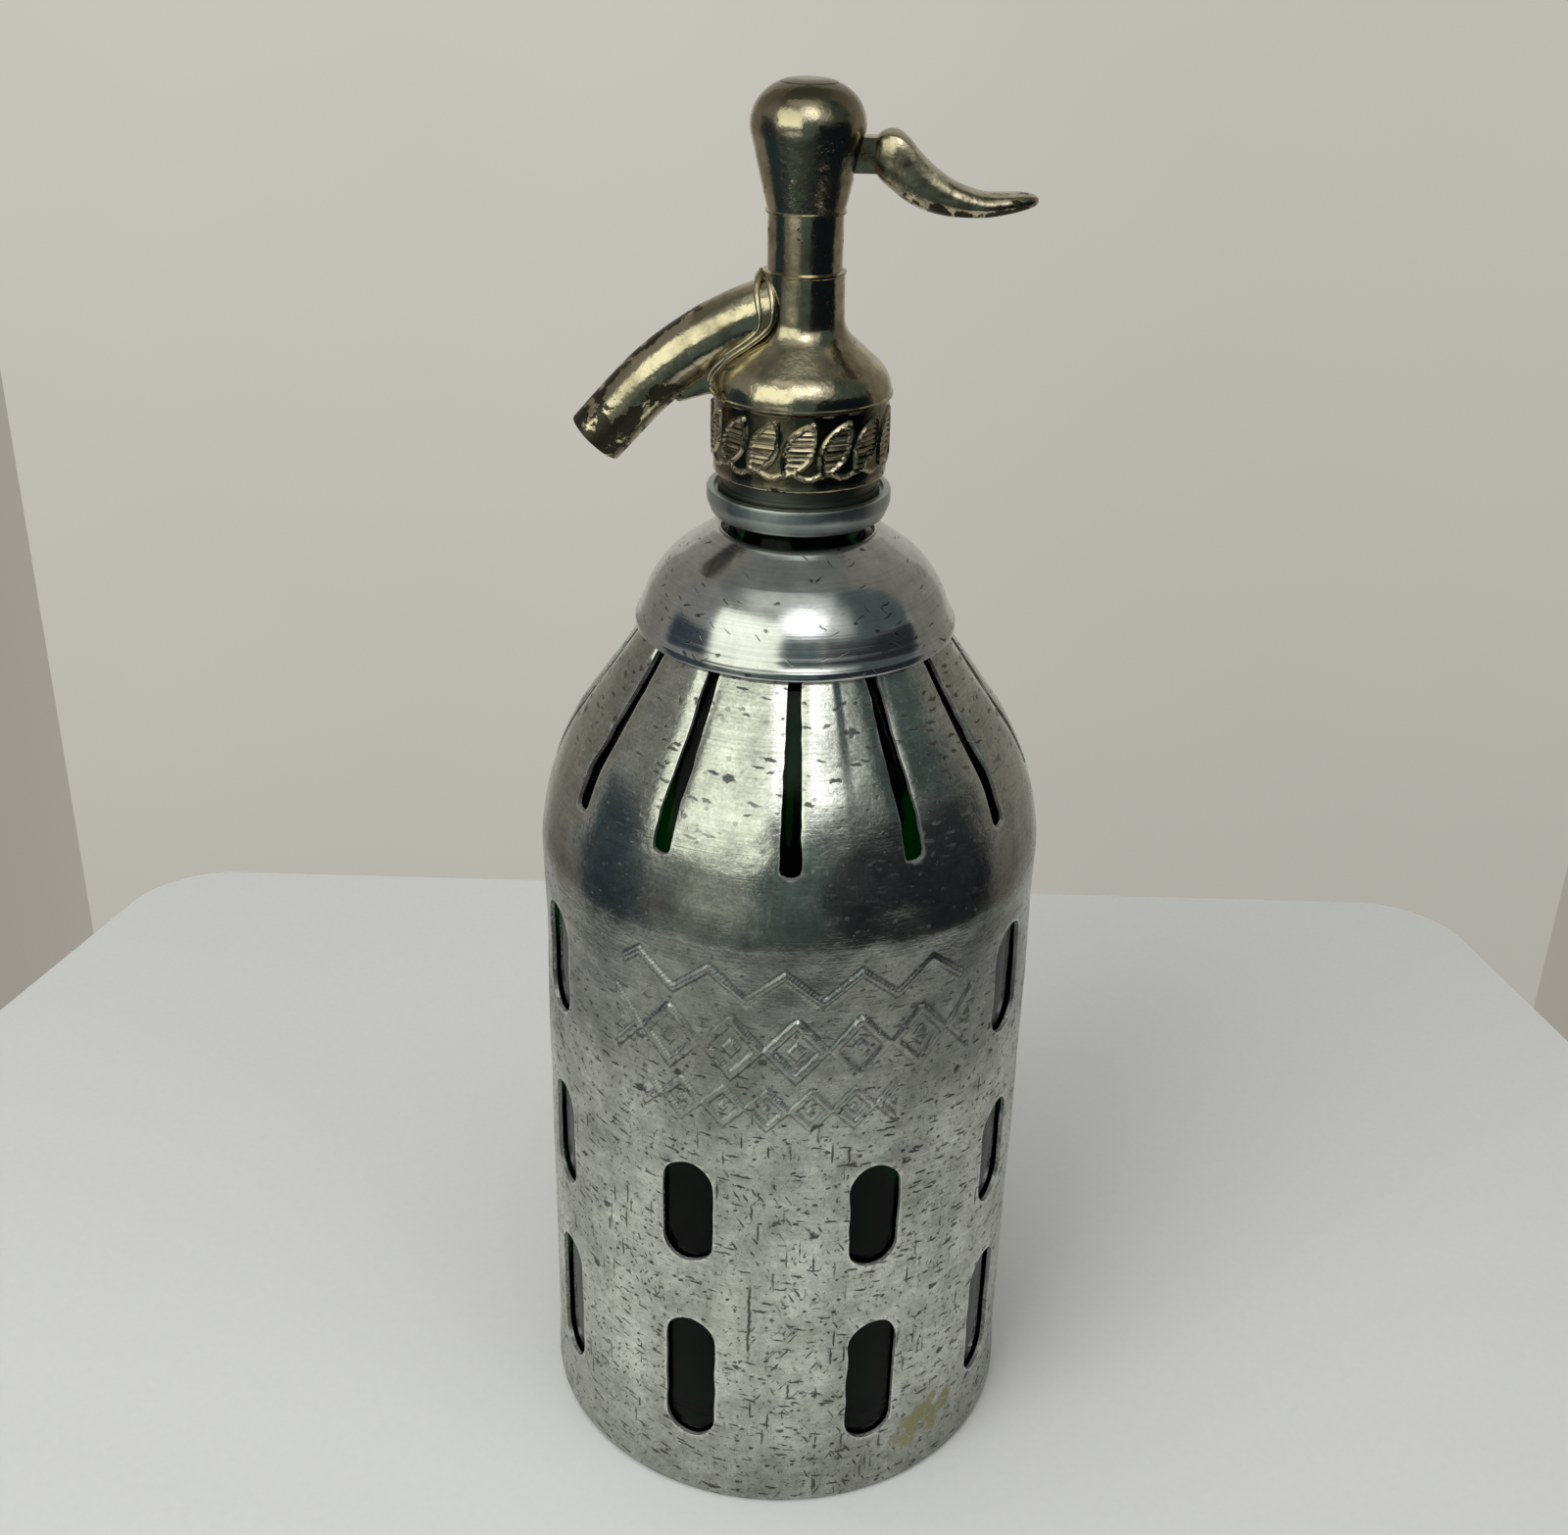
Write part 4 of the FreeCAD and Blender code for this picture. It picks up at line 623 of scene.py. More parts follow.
def window_cutter(angle, low, high, wobble):
    """An upright window with round ends and a slightly uneven outline."""
    half = WINDOW_WIDTH / 2
    corners = ((-half, low), (half, low), (half, high), (-half, high))
    shape = plate([(x, z, half - 0.01) for x, z in corners], 9, every(1.6))
    for vert in shape.verts:
        place = vert.co / MM
        drift = noise.noise_vector(Vector((place.x, angle, place.z)) * 0.17)
        vert.co += Vector((drift.x, 0, drift.z)) * wobble * 1.6
    slide(shape, (0, -51.5 * MM, 0))
    swing(shape, "Z", angle)
    return shape


def slot_cutter(angle, wobble):
    """A slot between two shoulder fingers: wide at its foot, narrow at the top."""
    lean = noise.noise(Vector((angle, 3, 7))) * 0.5
    low = 156.6 + noise.noise(Vector((angle, 1, 2))) * 2.2
    shape = plate([(-2.2, low, 1.5), (2.2, low, 1.5), (1.15 + lean, 196), (-1.15 + lean, 196)],
                  44, every(2.0))
    for vert in shape.verts:
        place = vert.co / MM
        rough = noise.noise(Vector((math.copysign(5, place.x), angle, place.z * 0.16)))
        fine = noise.noise(Vector((math.copysign(9, place.x), angle, place.z * 0.6)))
        vert.co.x += (rough * 1.5 + fine * 0.8) * wobble
    slide(shape, (0, -37 * MM, 0))
    swing(shape, "Z", angle)
    return shape


def stroke(distance, half_width):
    """A raised line: 1 on it, 0 beside it."""
    return 1 - smooth(half_width - 0.2, half_width + 0.22, abs(distance))


def lozenges(across, up, pitch, half_wide, half_high, line, heart):
    """A chain of outlined lozenges, each with a small solid one in its middle."""
    near = (across + pitch / 2) % pitch - pitch / 2
    slant = math.hypot(1 / half_wide, 1 / half_high)
    edge = (abs(near) / half_wide + abs(up) / half_high - 1) / slant
    core = (abs(near) / half_wide + abs(up) / half_high) / slant - heart
    return max(stroke(edge, line), 1 - smooth(-0.2, 0.22, core))


def ornament(across, height):
    """How far the plain frieze on the front stands out at a place, from 0 to 1."""
    raised = 0.0
    if abs(across - 2) < 36 and abs(height - 133.6) < 7:
        wave = abs((across / 7.5) % 2 - 1) * 2 - 1
        raised = stroke((height - 133.6 - wave * 3.1) * 0.75, 0.62)
    elif abs(across - 2.5) < 38.5 and abs(height - 119.6) <= 8:
        raised = lozenges(across - 2.5, height - 119.6, 12.8, 5.6, 6.4, 0.8, 1.35)
    elif abs(across + 3) < 26.5 and abs(height - 105.6) < 6:
        raised = lozenges(across + 3, height - 105.6, 8.8, 3.9, 4.2, 0.62, 0.75)
    worn = 0.8 + 0.8 * noise.noise(Vector((across, height, 4)) * 0.11)
    return raised * min(max(worn, 0.45), 1.0)


def press_jacket(sizes):
    """The moves that give the jacket its dents, bent fingers and frieze."""
    dent, bend, emboss = (value / MM for value in (sizes.dent_depth, sizes.finger_bend, sizes.emboss))

    def shift(place):
        radius, angle = around(place)
        depth = 0.0
        for at, height, wide, high, share in DENTS:
            away = (angle - at + 180) % 360 - 180
            reach = (away * 0.92 / wide) ** 2 + ((place.z - height) / high) ** 2
            if reach < 6:
                depth += dent * share * math.exp(-reach)
        if place.z > 3:
            ground = noise.noise(place * 0.05)
            hammered = noise.noise(Vector((place.x, place.y, place.z * 1.3)) * 0.17)
            depth += (0.44 + 0.2 * ground + 0.1 * hammered) * smooth(3, 12, place.z)
        rise = smooth(153, 193, place.z)
        if rise > 0:
            gap = min(abs((angle - slot + 180) % 360 - 180) for slot in SLOT_ANGLES)
            finger = round(((angle - 14.6) % 360) / 30)
            depth += rise * bend * (0.5 + noise.noise(Vector((finger * 3.7, 1.3, 8.1))))
            depth += min(rise * 3, 1) * 0.75 * math.exp(-(gap * radius * 0.01745 / 2.1) ** 2)
        if in_field(place, 1):
            depth -= emboss * ornament(math.radians(angle) * JACKET_RADIUS, place.z)
        return -outward(place) * min(max(depth, 0.0), 1.05)

    return shift


def mark_jacket(piece):
    """Marks painted highlights on the cut edges, which are partly rubbed bright metal, and on the frieze's
    up-facing slopes; painted shade on the frieze's down-facing slopes and at its strokes' feet, where some
    grime sits too; and where old glue clings.
    """
    shape = bmesh.new()
    shape.from_mesh(piece.data)
    highlight_and_rubbed = shape.verts.layers.float.new("highlight_and_rubbed")
    shade_and_grime = shape.verts.layers.float.new("shade_and_grime")
    glue = shape.verts.layers.float.new("glue")
    # painted highlight along the sharp cut edges, partly rubbed bright metal
    for edge in shape.edges:
        if len(edge.link_faces) == 2 and edge.calc_face_angle(0) > math.radians(50):
            for vert in edge.verts:
                vert[highlight_and_rubbed] = 0.5 + 0.3 * noise.noise(vert.co / MM * 0.35)
    for vert in shape.verts:
        place = vert.co / MM
        angle = around(place)[1]
        if in_field(place):
            across, step = math.radians(angle) * JACKET_RADIUS, 0.3
            aside = abs(ornament(across + step, place.z) - ornament(across - step, place.z))
            upward = ornament(across, place.z - step) - ornament(across, place.z + step)
            # painted shade on the frieze's down-facing slopes and at its strokes' feet, with some grime
            # there, and a painted highlight on its up-facing slopes
            vert[shade_and_grime] = max(smooth(0.15, 0.65, -upward), 0.8 * smooth(0.3, 0.9, aside - max(upward, 0)))
            vert[highlight_and_rubbed] = 0.75 * smooth(0.2, 0.8, upward)
        if 5 < place.z < 26 and 24 < angle < 56:
            lump = noise.noise(Vector((angle * 0.22, place.z * 0.3, 2)))
            patch = 1 - ((angle - 39) / 10) ** 2 - ((place.z - 14 - (angle - 40) * 0.2) / 5.5) ** 2
            vert[glue] = smooth(-0.1, 0.3, patch + lump * 1.3)
    shape.to_mesh(piece.data)
    shape.free()


class SIPHON_OT_jacket(bpy.types.Operator):
    """Adds the spun jacket with its windows, slots, dents and frieze"""

    bl_idname = "siphon.jacket"
    bl_label = "Jacket"

    def execute(self, context):
        sizes, colours = context.scene.siphon_sizes, context.scene.siphon_colours
        shell = turned(JACKET, 300, jacket_spacing)
        # the frieze needs finer faces
        field = [face for face in shell.faces if all(
            around(vert.co / MM)[0] > 52.2 and 97 < vert.co.z / MM < 142.5
            and -50 < around(vert.co / MM)[1] < 52 for vert in face.verts)]
        edges = {edge for face in field for edge in face.edges}
        bmesh.ops.subdivide_edges(shell, edges=list(edges), cuts=2, use_grid_fill=True)
        for vert in shell.verts:
            if in_field(vert.co / MM, 1):
                vert.co.xy = outward(vert.co).xy * JACKET_RADIUS * MM
        jacket = to_object("jacket_dressed", shell)
        wobble = sizes.window_wobble
        carve(jacket, to_object("windows", *(
            window_cutter(angle, low, high, wobble) for low, high, angles in WINDOWS for angle in angles)))
        for angle in SLOT_ANGLES:
            carve(jacket, to_object("slot", slot_cutter(angle, wobble)))
        mark_jacket(jacket)
        move_points(jacket, press_jacket(sizes))
        soften(jacket)
        finish_piece(jacket, "siphon", "jacket_sheet", aged_aluminium(sizes, colours), "jacket")
        return {"FINISHED"}


# ---------------------------------------------------------------------------------------------
# cap, bottle and neck ring
# ---------------------------------------------------------------------------------------------

# radius and height in mm of the outlines; the cap's hem goes round the finger tops
CAP = [(14.9, 206.8), (14.9, 209.4, 1.2), (27.9, 200.05, 18), (31.5, 190.4), (32.0, 189.9, 0.3),
       (32.0, 188.3, 0.3), (31.04, 188.3), (31.04, 189.35), (30.68, 190.4), (27.2, 199.7, 17.2),
       (15.7, 208.35, 0.4), (15.7, 206.8)]
BOTTLE = [(0, 8.9), (25.0, 8.9), (34.0, 2.9, 1.2), (50.5, 2.9, 6), (50.5, 157.3, 62),
          (12.4, 208.1, 10), (12.4, 219.4), (13.8, 220.8), (13.8, 227.0, 0.8), (11.6, 227.8),
          (11.6, 230.6, 0.8), (8.5, 230.6), (8.5, 207.0, 14.5), (46.0, 155.8, 57.5),
          (46.0, 13.4, 9), (0, 13.4)]
RING = [(13.5, 211.2), (16.9, 211.2, 1.0), (18.0, 214.1, 3.2), (17.95, 216.6, 0.5), (16.5, 216.6, 0.05),
        (16.5, 215.7), (15.82, 215.7), (15.82, 212.4), (13.5, 212.4)]


class SIPHON_OT_cap(bpy.types.Operator):
    """Adds the spun cap over the finger tops"""

    bl_idname = "siphon.cap"
    bl_label = "Shoulder cap"

    def execute(self, context):
        sizes, colours = context.scene.siphon_sizes, context.scene.siphon_colours
        cap = to_object("cap_dressed", turned(CAP, 240, every(0.45)))

        def shift(place):
            grooves = 0.1 * math.exp(-((place.z - 191.3) / 0.28) ** 2)
            grooves += 0.07 * math.exp(-((place.z - 192.6) / 0.25) ** 2)
            waves = 0.1 + 0.1 * noise.noise(place * 0.07)
            return -outward(place) * (grooves + waves * smooth(190, 194, place.z))

        move_points(cap, shift)
        soften(cap)
        finish_piece(cap, "siphon", "dome_sheet", satin_aluminium(sizes, colours), "shoulder_dome")
        return {"FINISHED"}


class SIPHON_OT_bottle(bpy.types.Operator):
    """Adds the green glass bottle"""

    bl_idname = "siphon.bottle"
    bl_label = "Bottle"

    def execute(self, context):
        bottle = to_object("bottle_dressed", turned(BOTTLE, 160, every(3.0)))
        soften(bottle)
        finish_piece(bottle, "siphon", "green_glass", bottle_glass(context.scene.siphon_colours), "bottle")
        return {"FINISHED"}


class SIPHON_OT_neck_ring(bpy.types.Operator):
    """Adds the ring under the head"""

    bl_idname = "siphon.neck_ring"
    bl_label = "Neck ring"

    def execute(self, context):
        colours = context.scene.siphon_colours
        ring = to_object("ring_dressed", turned(RING, 200, every(0.6)))

        def shift(place):
            return -outward(place) * (0.06 + 0.06 * noise.noise(place * 0.12))

        move_points(ring, shift)
        soften(ring)
        finish_piece(ring, "siphon", "ring_metal", grey_ring_metal(colours), "neck_ring")
        return {"FINISHED"}


# ---------------------------------------------------------------------------------------------
# head and lever
# ---------------------------------------------------------------------------------------------

SKIRT_RADIUS = 17.2
SKIRT_TOP = 234.8
# radius and height in mm of the head's outline, from the skirt up, and of the hollow inside it
HEAD = [(0, 219.6), (SKIRT_RADIUS, 219.6, 0.6), (SKIRT_RADIUS, SKIRT_TOP), (17.45, 234.95), (17.45, 235.3),
        (17.15, 235.5), (17.15, 238.6, 6.5), (7.85, 246.8, 5), (7.55, 256.95), (7.78, 257.15),
        (7.78, 257.55), (7.0, 257.8), (7.0, 267.75), (7.5, 267.95), (7.5, 268.3), (7.22, 268.5),
        (11.4, 286, 7), (5.0, 290.9, 8), (0, 290.9)]
HEAD_HOLLOW = [(0, 218), (15.26, 218), (15.26, 228.6), (12.4, 228.6), (12.4, 233), (6, 233),
               (6, 245.2), (4.5, 245.2), (4.5, 271.5), (6.5, 271.5), (6.5, 286), (5.26, 286),
               (5.26, 292), (0, 292)]
# the spout starts here, bends with this radius from the first slope to the last, in degrees, and
# ends in a straight piece
SPOUT_ROOT = Vector((0, 0, 251.9))
SPOUT_BEND = 64.5
SPOUT_SLOPES = (14, 48)
SPOUT_STRAIGHT = 10.3
# where its bend has its centre, across and up
BEND_CENTRE = (15.6, 189.3)


def swept(path, radii, sides):
    """A round bar along a path in mm, with a radius at each of its points."""
    shape = bmesh.new()
    bmesh.ops.create_circle(shape, cap_ends=True, radius=1, segments=sides)
    shape.faces.ensure_lookup_table()
    face = shape.faces[0]
    place, ahead, size = Vector(), Vector((0, 0, 1)), 1.0
    for index, (point, radius) in enumerate(zip(path, radii)):
        along = (path[min(index + 1, len(path) - 1)] - path[max(index - 1, 0)]).normalized()
        if index:
            face, _ = lengthened(shape, face)
        move = (Matrix.Translation(point * MM) @ ahead.rotation_difference(along).to_matrix().to_4x4()
                @ Matrix.Scale(radius * MM / size, 4) @ Matrix.Translation(-place))
        bmesh.ops.transform(shape, matrix=move, verts=face.verts)
        place, ahead, size = point * MM, along, radius * MM
    close(shape)
    return shape


def spout_bar(root_radius, tip_radius, past=0.0):
    """A round bar along the spout's bend, wider at its root; it may run past the spout's end."""
    first, last = (math.radians(angle) for angle in SPOUT_SLOPES)
    centre = SPOUT_ROOT + Vector((math.sin(first), 0, -math.cos(first))) * SPOUT_BEND
    path = []
    for step in range(37):
        steep = first + (last - first) * min(step, 30) / 30
        straight = (SPOUT_STRAIGHT + past) * max(step - 30, 0) / 6
        path.append(centre + Vector((-math.sin(steep), 0, math.cos(steep))) * SPOUT_BEND
                    + Vector((-math.cos(steep), 0, -math.sin(steep))) * straight)
    radii = [root_radius + (tip_radius - root_radius) * step / 36 for step in range(37)]
    return swept(path, radii, 56)


# the front half of the double welt round the spout's root, from the upper ridge down to the web
WELT_INNER = [(-6.6, -2.6, 256.7), (-6.2, -4.5, 255.1), (-5.7, -5.9, 252.7), (-5.6, -6.5, 250.4),
              (-6.1, -6.4, 248.4), (-7.5, -6.1, 246.6), (-9.8, -5.6, 244.6), (-12.5, -5.1, 242.6),
              (-14.8, -4.3, 240.6), (-16.4, -3.0, 238.5), (-17.0, -1.6, 236.4)]
WELT_OUTER = [(-7.9, -0.6, 257.0), (-8.7, -3.1, 255.1), (-8.4, -5.2, 252.3), (-7.9, -6.1, 249.4),
              (-8.4, -6.0, 247.2), (-10.4, -5.7, 245.2), (-13.0, -5.1, 243.2), (-15.3, -4.1, 241.2),
              (-16.9, -2.6, 238.9), (-17.4, -1.4, 237.0)]


def welt(points, side, radius):
    """One line of the welt, on the front for side 1 and on the rear for side -1."""
    path = smoothed([Vector((x, y * side, z)) for x, y, z in points], 3)
    return swept(path, [radius] * len(path), 12)


def skirt_relief(across, height):
    """How far the hatched leaves on the skirt stand out at a place, from 0 to 1."""
    best = 0.0
    up = height - 228.0
    near = (across + 3.6) % 7.2 - 3.6
    for shift in (-7.2, 0, 7.2):
        along = (near - shift) * 0.5 + up * 0.87
        aside = (near - shift) * 0.87 - up * 0.5
        if abs(along) < 6.0:
            half = 3.0 * math.cos(along / 6.0 * math.pi / 2) ** 0.8
            inside = half - abs(aside)
            best = max(best, stroke(inside - 0.45, 0.34))
            if inside > 0.6:
                best = max(best, 0.65 * stroke((up + 0.5) % 1.0 - 0.5, 0.2))
    return max(best, 0.75 * stroke(up + 4.9 + 0.6 * math.sin(across * 0.87), 0.32))


def skirt_ground(place):
    """How deep in the ground between the skirt's leaves a place is, from 0 to 1."""
    radius, angle = around(place)
    if not 16 < radius < 17.6 or place.z > SKIRT_TOP:
        return 0.0
    return 1 - skirt_relief(math.radians(angle) * SKIRT_RADIUS, place.z)


def head_spacing(radius, height):
    """Distance between the head's rows: fine on the skirt, wide near the middle of its ends."""
    if radius > 17 and height < 234.5:
        return 0.3
    return 0.6 if radius > 6.5 else 3


def uneven(place, size, amount):
    """A cast surface's slow unevenness."""
    return noise.noise_vector(place / size) * amount


def mark_places(piece, name, rule):
    """Notes at each place how far a rule holds there, from 0 to 1, for the piece's material."""
    layer = piece.data.attributes.new(name, "FLOAT", "POINT")
    for index, vert in enumerate(piece.data.vertices):
        layer.data[index].value = min(max(rule(vert.co / MM), 0.0), 1.0)


class SIPHON_OT_head(bpy.types.Operator):
    """Adds the cast head with its spout"""

    bl_idname = "siphon.head"
    bl_label = "Head"

    def execute(self, context):
        sizes, colours = context.scene.siphon_sizes, context.scene.siphon_colours
        wobble = sizes.cast_wobble / MM
        head = to_object("head_dressed", turned(HEAD, 330, head_spacing))
        carve(head, to_object("spout", spout_bar(6.15, 5.75)), "UNION")
        web = plate([(-12.2, 234.1), (-17.2, 234.1), (-24, 232.0, 1.0), (-24, 235.0, 1.0), (-12.2, 246.0)],
                    3.2, every(1.0))
        bmesh.ops.bevel(web, geom=[edge for edge in web.edges if edge.calc_face_angle(0) > 1.2],
                        offset=0.5 * MM, affect="EDGES", segments=2, profile=0.5, material=-1)
        carve(head, to_object("web", web), "UNION")
        for side in (1, -1):
            carve(head, to_object("inner_welt", welt(WELT_INNER, side, 0.58)), "UNION")
            carve(head, to_object("outer_welt", welt(WELT_OUTER, side, 0.62)), "UNION")
        carve(head, to_object("hollow", turned(HEAD_HOLLOW, 90, every(4.0))))
        carve(head, to_object("bore", spout_bar(3.3, 3.3, 2.0)))
        carve(head, to_object("tongue_slot", plate(
            [(3.0, 273.9), (13.5, 273.9), (13.5, 282.0), (3.0, 282.0)], 5.0, every(2.0))))

        def shift(place):
            radius, angle = around(place)
            move = uneven(place, 7.0, wobble) + uneven(place, 2.2, wobble * 0.4)
            move -= outward(place) * 0.5 * smooth(SKIRT_TOP, 234.2, place.z) * skirt_ground(place)
            if 16.8 < radius < 17.6 and place.z < 221:
                ragged = noise.noise(Vector((angle * 0.15, 0, 5)))
                move.z += 0.25 * max(ragged, 0) * smooth(220.6, 219.6, place.z)
            if radius < 7 or place.z < 220:
                move.z = max(move.z, 0)
            if place.z > 290.2:
                move.z = min(move.z, 0)
            return move

        move_points(head, shift)

        def bare_and_shade(place):
            # worn plating at the spout's tip and back, the skirt's foot and the neck, and painted shade
            # together with wear along the spout's underside
            above = math.hypot(place.x - BEND_CENTRE[0], place.z - BEND_CENTRE[1]) - SPOUT_BEND
            return (0.12 + 0.85 * smooth(-12, -32, place.x) * smooth(3.6, -2.5, above)
                    + 0.62 * smooth(-32, -38, place.x)
                    + 1.0 * smooth(-10, -28, place.x) * smooth(4.2, 6.2, above)
                    + 0.35 * smooth(222.5, 220, place.z)
                    + 0.3 * smooth(276, 268, place.z) * smooth(255, 266, place.z))

        mark_places(head, "bared_and_shaded", bare_and_shade)
        mark_places(head, "sooty", lambda place: 0.95 * skirt_ground(place) * smooth(220, 221.5, place.z))
        soften(head, 40)
        material = worn_nickel(sizes, colours, "worn_nickel_plating")
        finish_piece(head, "siphon", "plated_casting", material, "head_body")
        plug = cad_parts["top_plug"]
        plug.data.materials.clear()
        plug.data.materials.append(material)
        return {"FINISHED"}


# distance out, height of the middle, half height and half width in mm of the lever's sections
LEVER = [(12.1, 278.2, 3.1, 3.0), (13.2, 278.05, 4.3, 3.8), (14.6, 277.75, 5.15, 4.4),
         (16.4, 276.95, 5.75, 4.7), (18.4, 275.5, 5.65, 4.9), (20.2, 274.1, 5.1, 5.0),
         (22.2, 272.8, 4.4, 5.1), (25.4, 271.3, 3.55, 5.25), (28.6, 270.45, 2.8, 5.4),
         (32.4, 270.0, 2.2, 5.2), (36.3, 270.3, 1.9, 4.6), (39.5, 270.7, 1.5, 3.5),
         (41.3, 270.85, 1.0, 2.2), (42.0, 270.9, 0.45, 1.0)]

# the pin's hole goes through here
PIN = (7.4 * MM, 0, 277.4 * MM)
PIN_RADIUS = 1.25 * MM


def lever_bar():
    """The lever's tail: a squarish bar that swells behind its neck and thins to the tip."""
    shape = bmesh.new()
    bmesh.ops.create_circle(shape, cap_ends=True, radius=1.0, segments=40)
    swing(shape, "Y", 90)
    shape.faces.ensure_lookup_table()
    face = shape.faces[0]
    ring = [(vert, vert.co.y, vert.co.z) for vert in shape.verts]
    sections = zip(*(smoothed(measure, 4) for measure in zip(*LEVER)))
    for index, (out, middle, high, wide) in enumerate(sections):
        if index:
            face, verts = lengthened(shape, face)
            old = {tuple(round(c, 9) for c in vert.co): (y, z) for vert, y, z in ring}
            ring = [(vert, *old[tuple(round(c, 9) for c in vert.co)]) for vert in verts]
        for vert, y, z in ring:
            square = max(abs(y), abs(z)) ** -0.35
            vert.co = Vector((out, y * square * wide * 0.97, middle + z * square * high * 0.97)) * MM
    close(shape)
    return shape


class SIPHON_OT_lever(bpy.types.Operator):
    """Adds the thumb lever"""

    bl_idname = "siphon.lever"
    bl_label = "Lever"

    def execute(self, context):
        sizes, colours = context.scene.siphon_sizes, context.scene.siphon_colours
        wobble = sizes.cast_wobble / MM
        lever = to_object("lever_dressed", lever_bar())
        tongue = plate([(5.2, 275.1), (13.5, 275.1), (13.5, 281.3), (6.1, 281.3, 0.5), (5.2, 280.4, 0.4)],
                       4.6, every(1.2))
        carve(lever, to_object("tongue", tongue), "UNION")
        finger = plate([(-1.65, 275.1, 1.4), (6.1, 275.35), (6.1, 277.75), (-1.65, 278.0, 1.4)],
                       2.8, every(1.2))
        carve(lever, to_object("finger", finger), "UNION")
        hole = bmesh.new()
        bmesh.ops.create_cone(hole, cap_ends=True, radius1=PIN_RADIUS, radius2=PIN_RADIUS, depth=20 * MM,
                              segments=40)
        swing(hole, "X", 90)
        slide(hole, PIN)
        carve(lever, to_object("hole", hole))

        def shift(place):
            if place.x < 12.4:
                return Vector()
            seam = 0.16 * math.exp(-((place.z - 268.4) / 0.35) ** 2) * smooth(20, 26, place.x)
            inward = Vector((0, -math.copysign(0.05, place.y), 0))
            move = uneven(place, 6.0, wobble * 1.2) + uneven(place, 2.0, wobble * 0.4) + inward
            move.y += math.copysign(seam, place.y)
            if place.x > 41.5:
                move.x = min(move.x, 0)
            return move

        move_points(lever, shift)

        def bare_and_shade(place):
            # worn plating at its tip, and painted shade together with wear on the underside of its tail
            for near, far in zip(LEVER, LEVER[1:]):
                if place.x < far[0]:
                    break
            share = min(max((place.x - near[0]) / (far[0] - near[0]), 0), 1)
            middle, half = (near[at] + (far[at] - near[at]) * share for at in (1, 2))
            return (0.3 + 0.35 * smooth(30, 38, place.x)
                    + 0.9 * smooth(0.15, 0.75, (middle - place.z) / half) * smooth(14, 20, place.x))

        mark_places(lever, "bared_and_shaded", bare_and_shade)
        soften(lever, 40)
        material = worn_nickel(sizes, colours, "worn_nickel_lever", 0.9)
        finish_piece(lever, "lever", "lever_plating", material, "lever")
        return {"FINISHED"}


class SIPHON_OT_inner_parts(bpy.types.Operator):
    """Gives the valve, collar, seals, pin, spring and dip tube their finishes"""

    bl_idname = "siphon.inner_parts"
    bl_label = "Inner parts"

    def execute(self, context):
        colours = context.scene.siphon_colours
        brass = plain_metal("machined_brass", colours.brass, 0.32, 0.0004)
        steel = plain_metal("drawn_steel", colours.steel, 0.3, 0.0003)
        dull_brass = plain_metal("grey_patinated_brass", linear("#70736c"), 0.42, 0.0008)
        rubber = seal_rubber(colours)
        finishes = {
            brass: ("plunger", "washer_screw", "valve_seat", "tube_holder"),
            steel: ("lever_pin",),
            dull_brass: ("collar_half_front", "collar_half_rear"),
            rubber: ("base_cushion", "mouth_gasket", "plunger_packing", "valve_washer", "seat_seal",
                     "tube_sleeve"),
            tube_glass(): ("dip_tube",),
        }
        for material, names in finishes.items():
            for name in names:
                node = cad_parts[name]
                node.data.materials.clear()
                node.data.materials.append(material)
        spring = bpy.data.objects.new("spring_dressed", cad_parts["return_spring"].data.copy())
        context.scene.collection.objects.link(spring)
        shape = bmesh.new()
        shape.from_mesh(spring.data)
        bmesh.ops.remove_doubles(shape, verts=shape.verts[:], dist=MERGE)
        for face in shape.faces:
            face.smooth = True
        shape.to_mesh(spring.data)
        shape.free()
        finish_piece(spring, "siphon", "spring_steel", steel, "return_spring")
        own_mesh(spring)
        return {"FINISHED"}


# ---------------------------------------------------------------------------------------------
# stage
# ---------------------------------------------------------------------------------------------

# outline of the table top in mm, with the roundings of its corners, and its thickness
TABLE = [(-217, 219, 30), (224, 219, 30), (262, 60, 60), (262, -255, 30), (-262, -255, 30), (-262, 60, 60)]
TABLE_DEPTH = 30
# heights above the table, in metres, that the cards and the lights turn to
CARD_CENTRE = 0.16
LIGHT_CENTRE = 0.14


def surround(name, shape, material, seen):
    """A piece of the stage that casts no shadow and lights nothing matte; only if seen does the
    camera see it too."""
    piece = to_object(name, shape)
    piece.data.materials.append(material)
    piece.visible_camera = seen
    piece.visible_shadow = False
    piece.visible_diffuse = False


def card(name, wide, high, distance, azimuth, elevation, tint, strength, soft=0.0, rounded=False):
    """A lit card round the siphon that only reflections see; azimuth 0 is the front. Its edges
    fade over the share soft of its half width."""
    shape = bmesh.new()
    bmesh.ops.create_grid(shape, x_segments=24, y_segments=24, size=1)
    glow = shape.verts.layers.float.new("glow")
    for vert in shape.verts:
        x, y = abs(vert.co.x), abs(vert.co.y)
        away = (math.hypot(x, y),) if rounded else (x, y)
        vert[glow] = math.prod(smooth(1.0, 1.0 - soft, way) for way in away) if soft else 1.0
    bmesh.ops.scale(shape, verts=shape.verts[:], vec=(wide / 2, high / 2, 1))
    swing(shape, "X", 90)
    slide(shape, (0, -distance, 0))
    swing(shape, "X", -elevation)
    swing(shape, "Z", azimuth)
    slide(shape, (0, 0, CARD_CENTRE))
    surround(name, shape, glowing(name + "_tone", tint, strength), False)


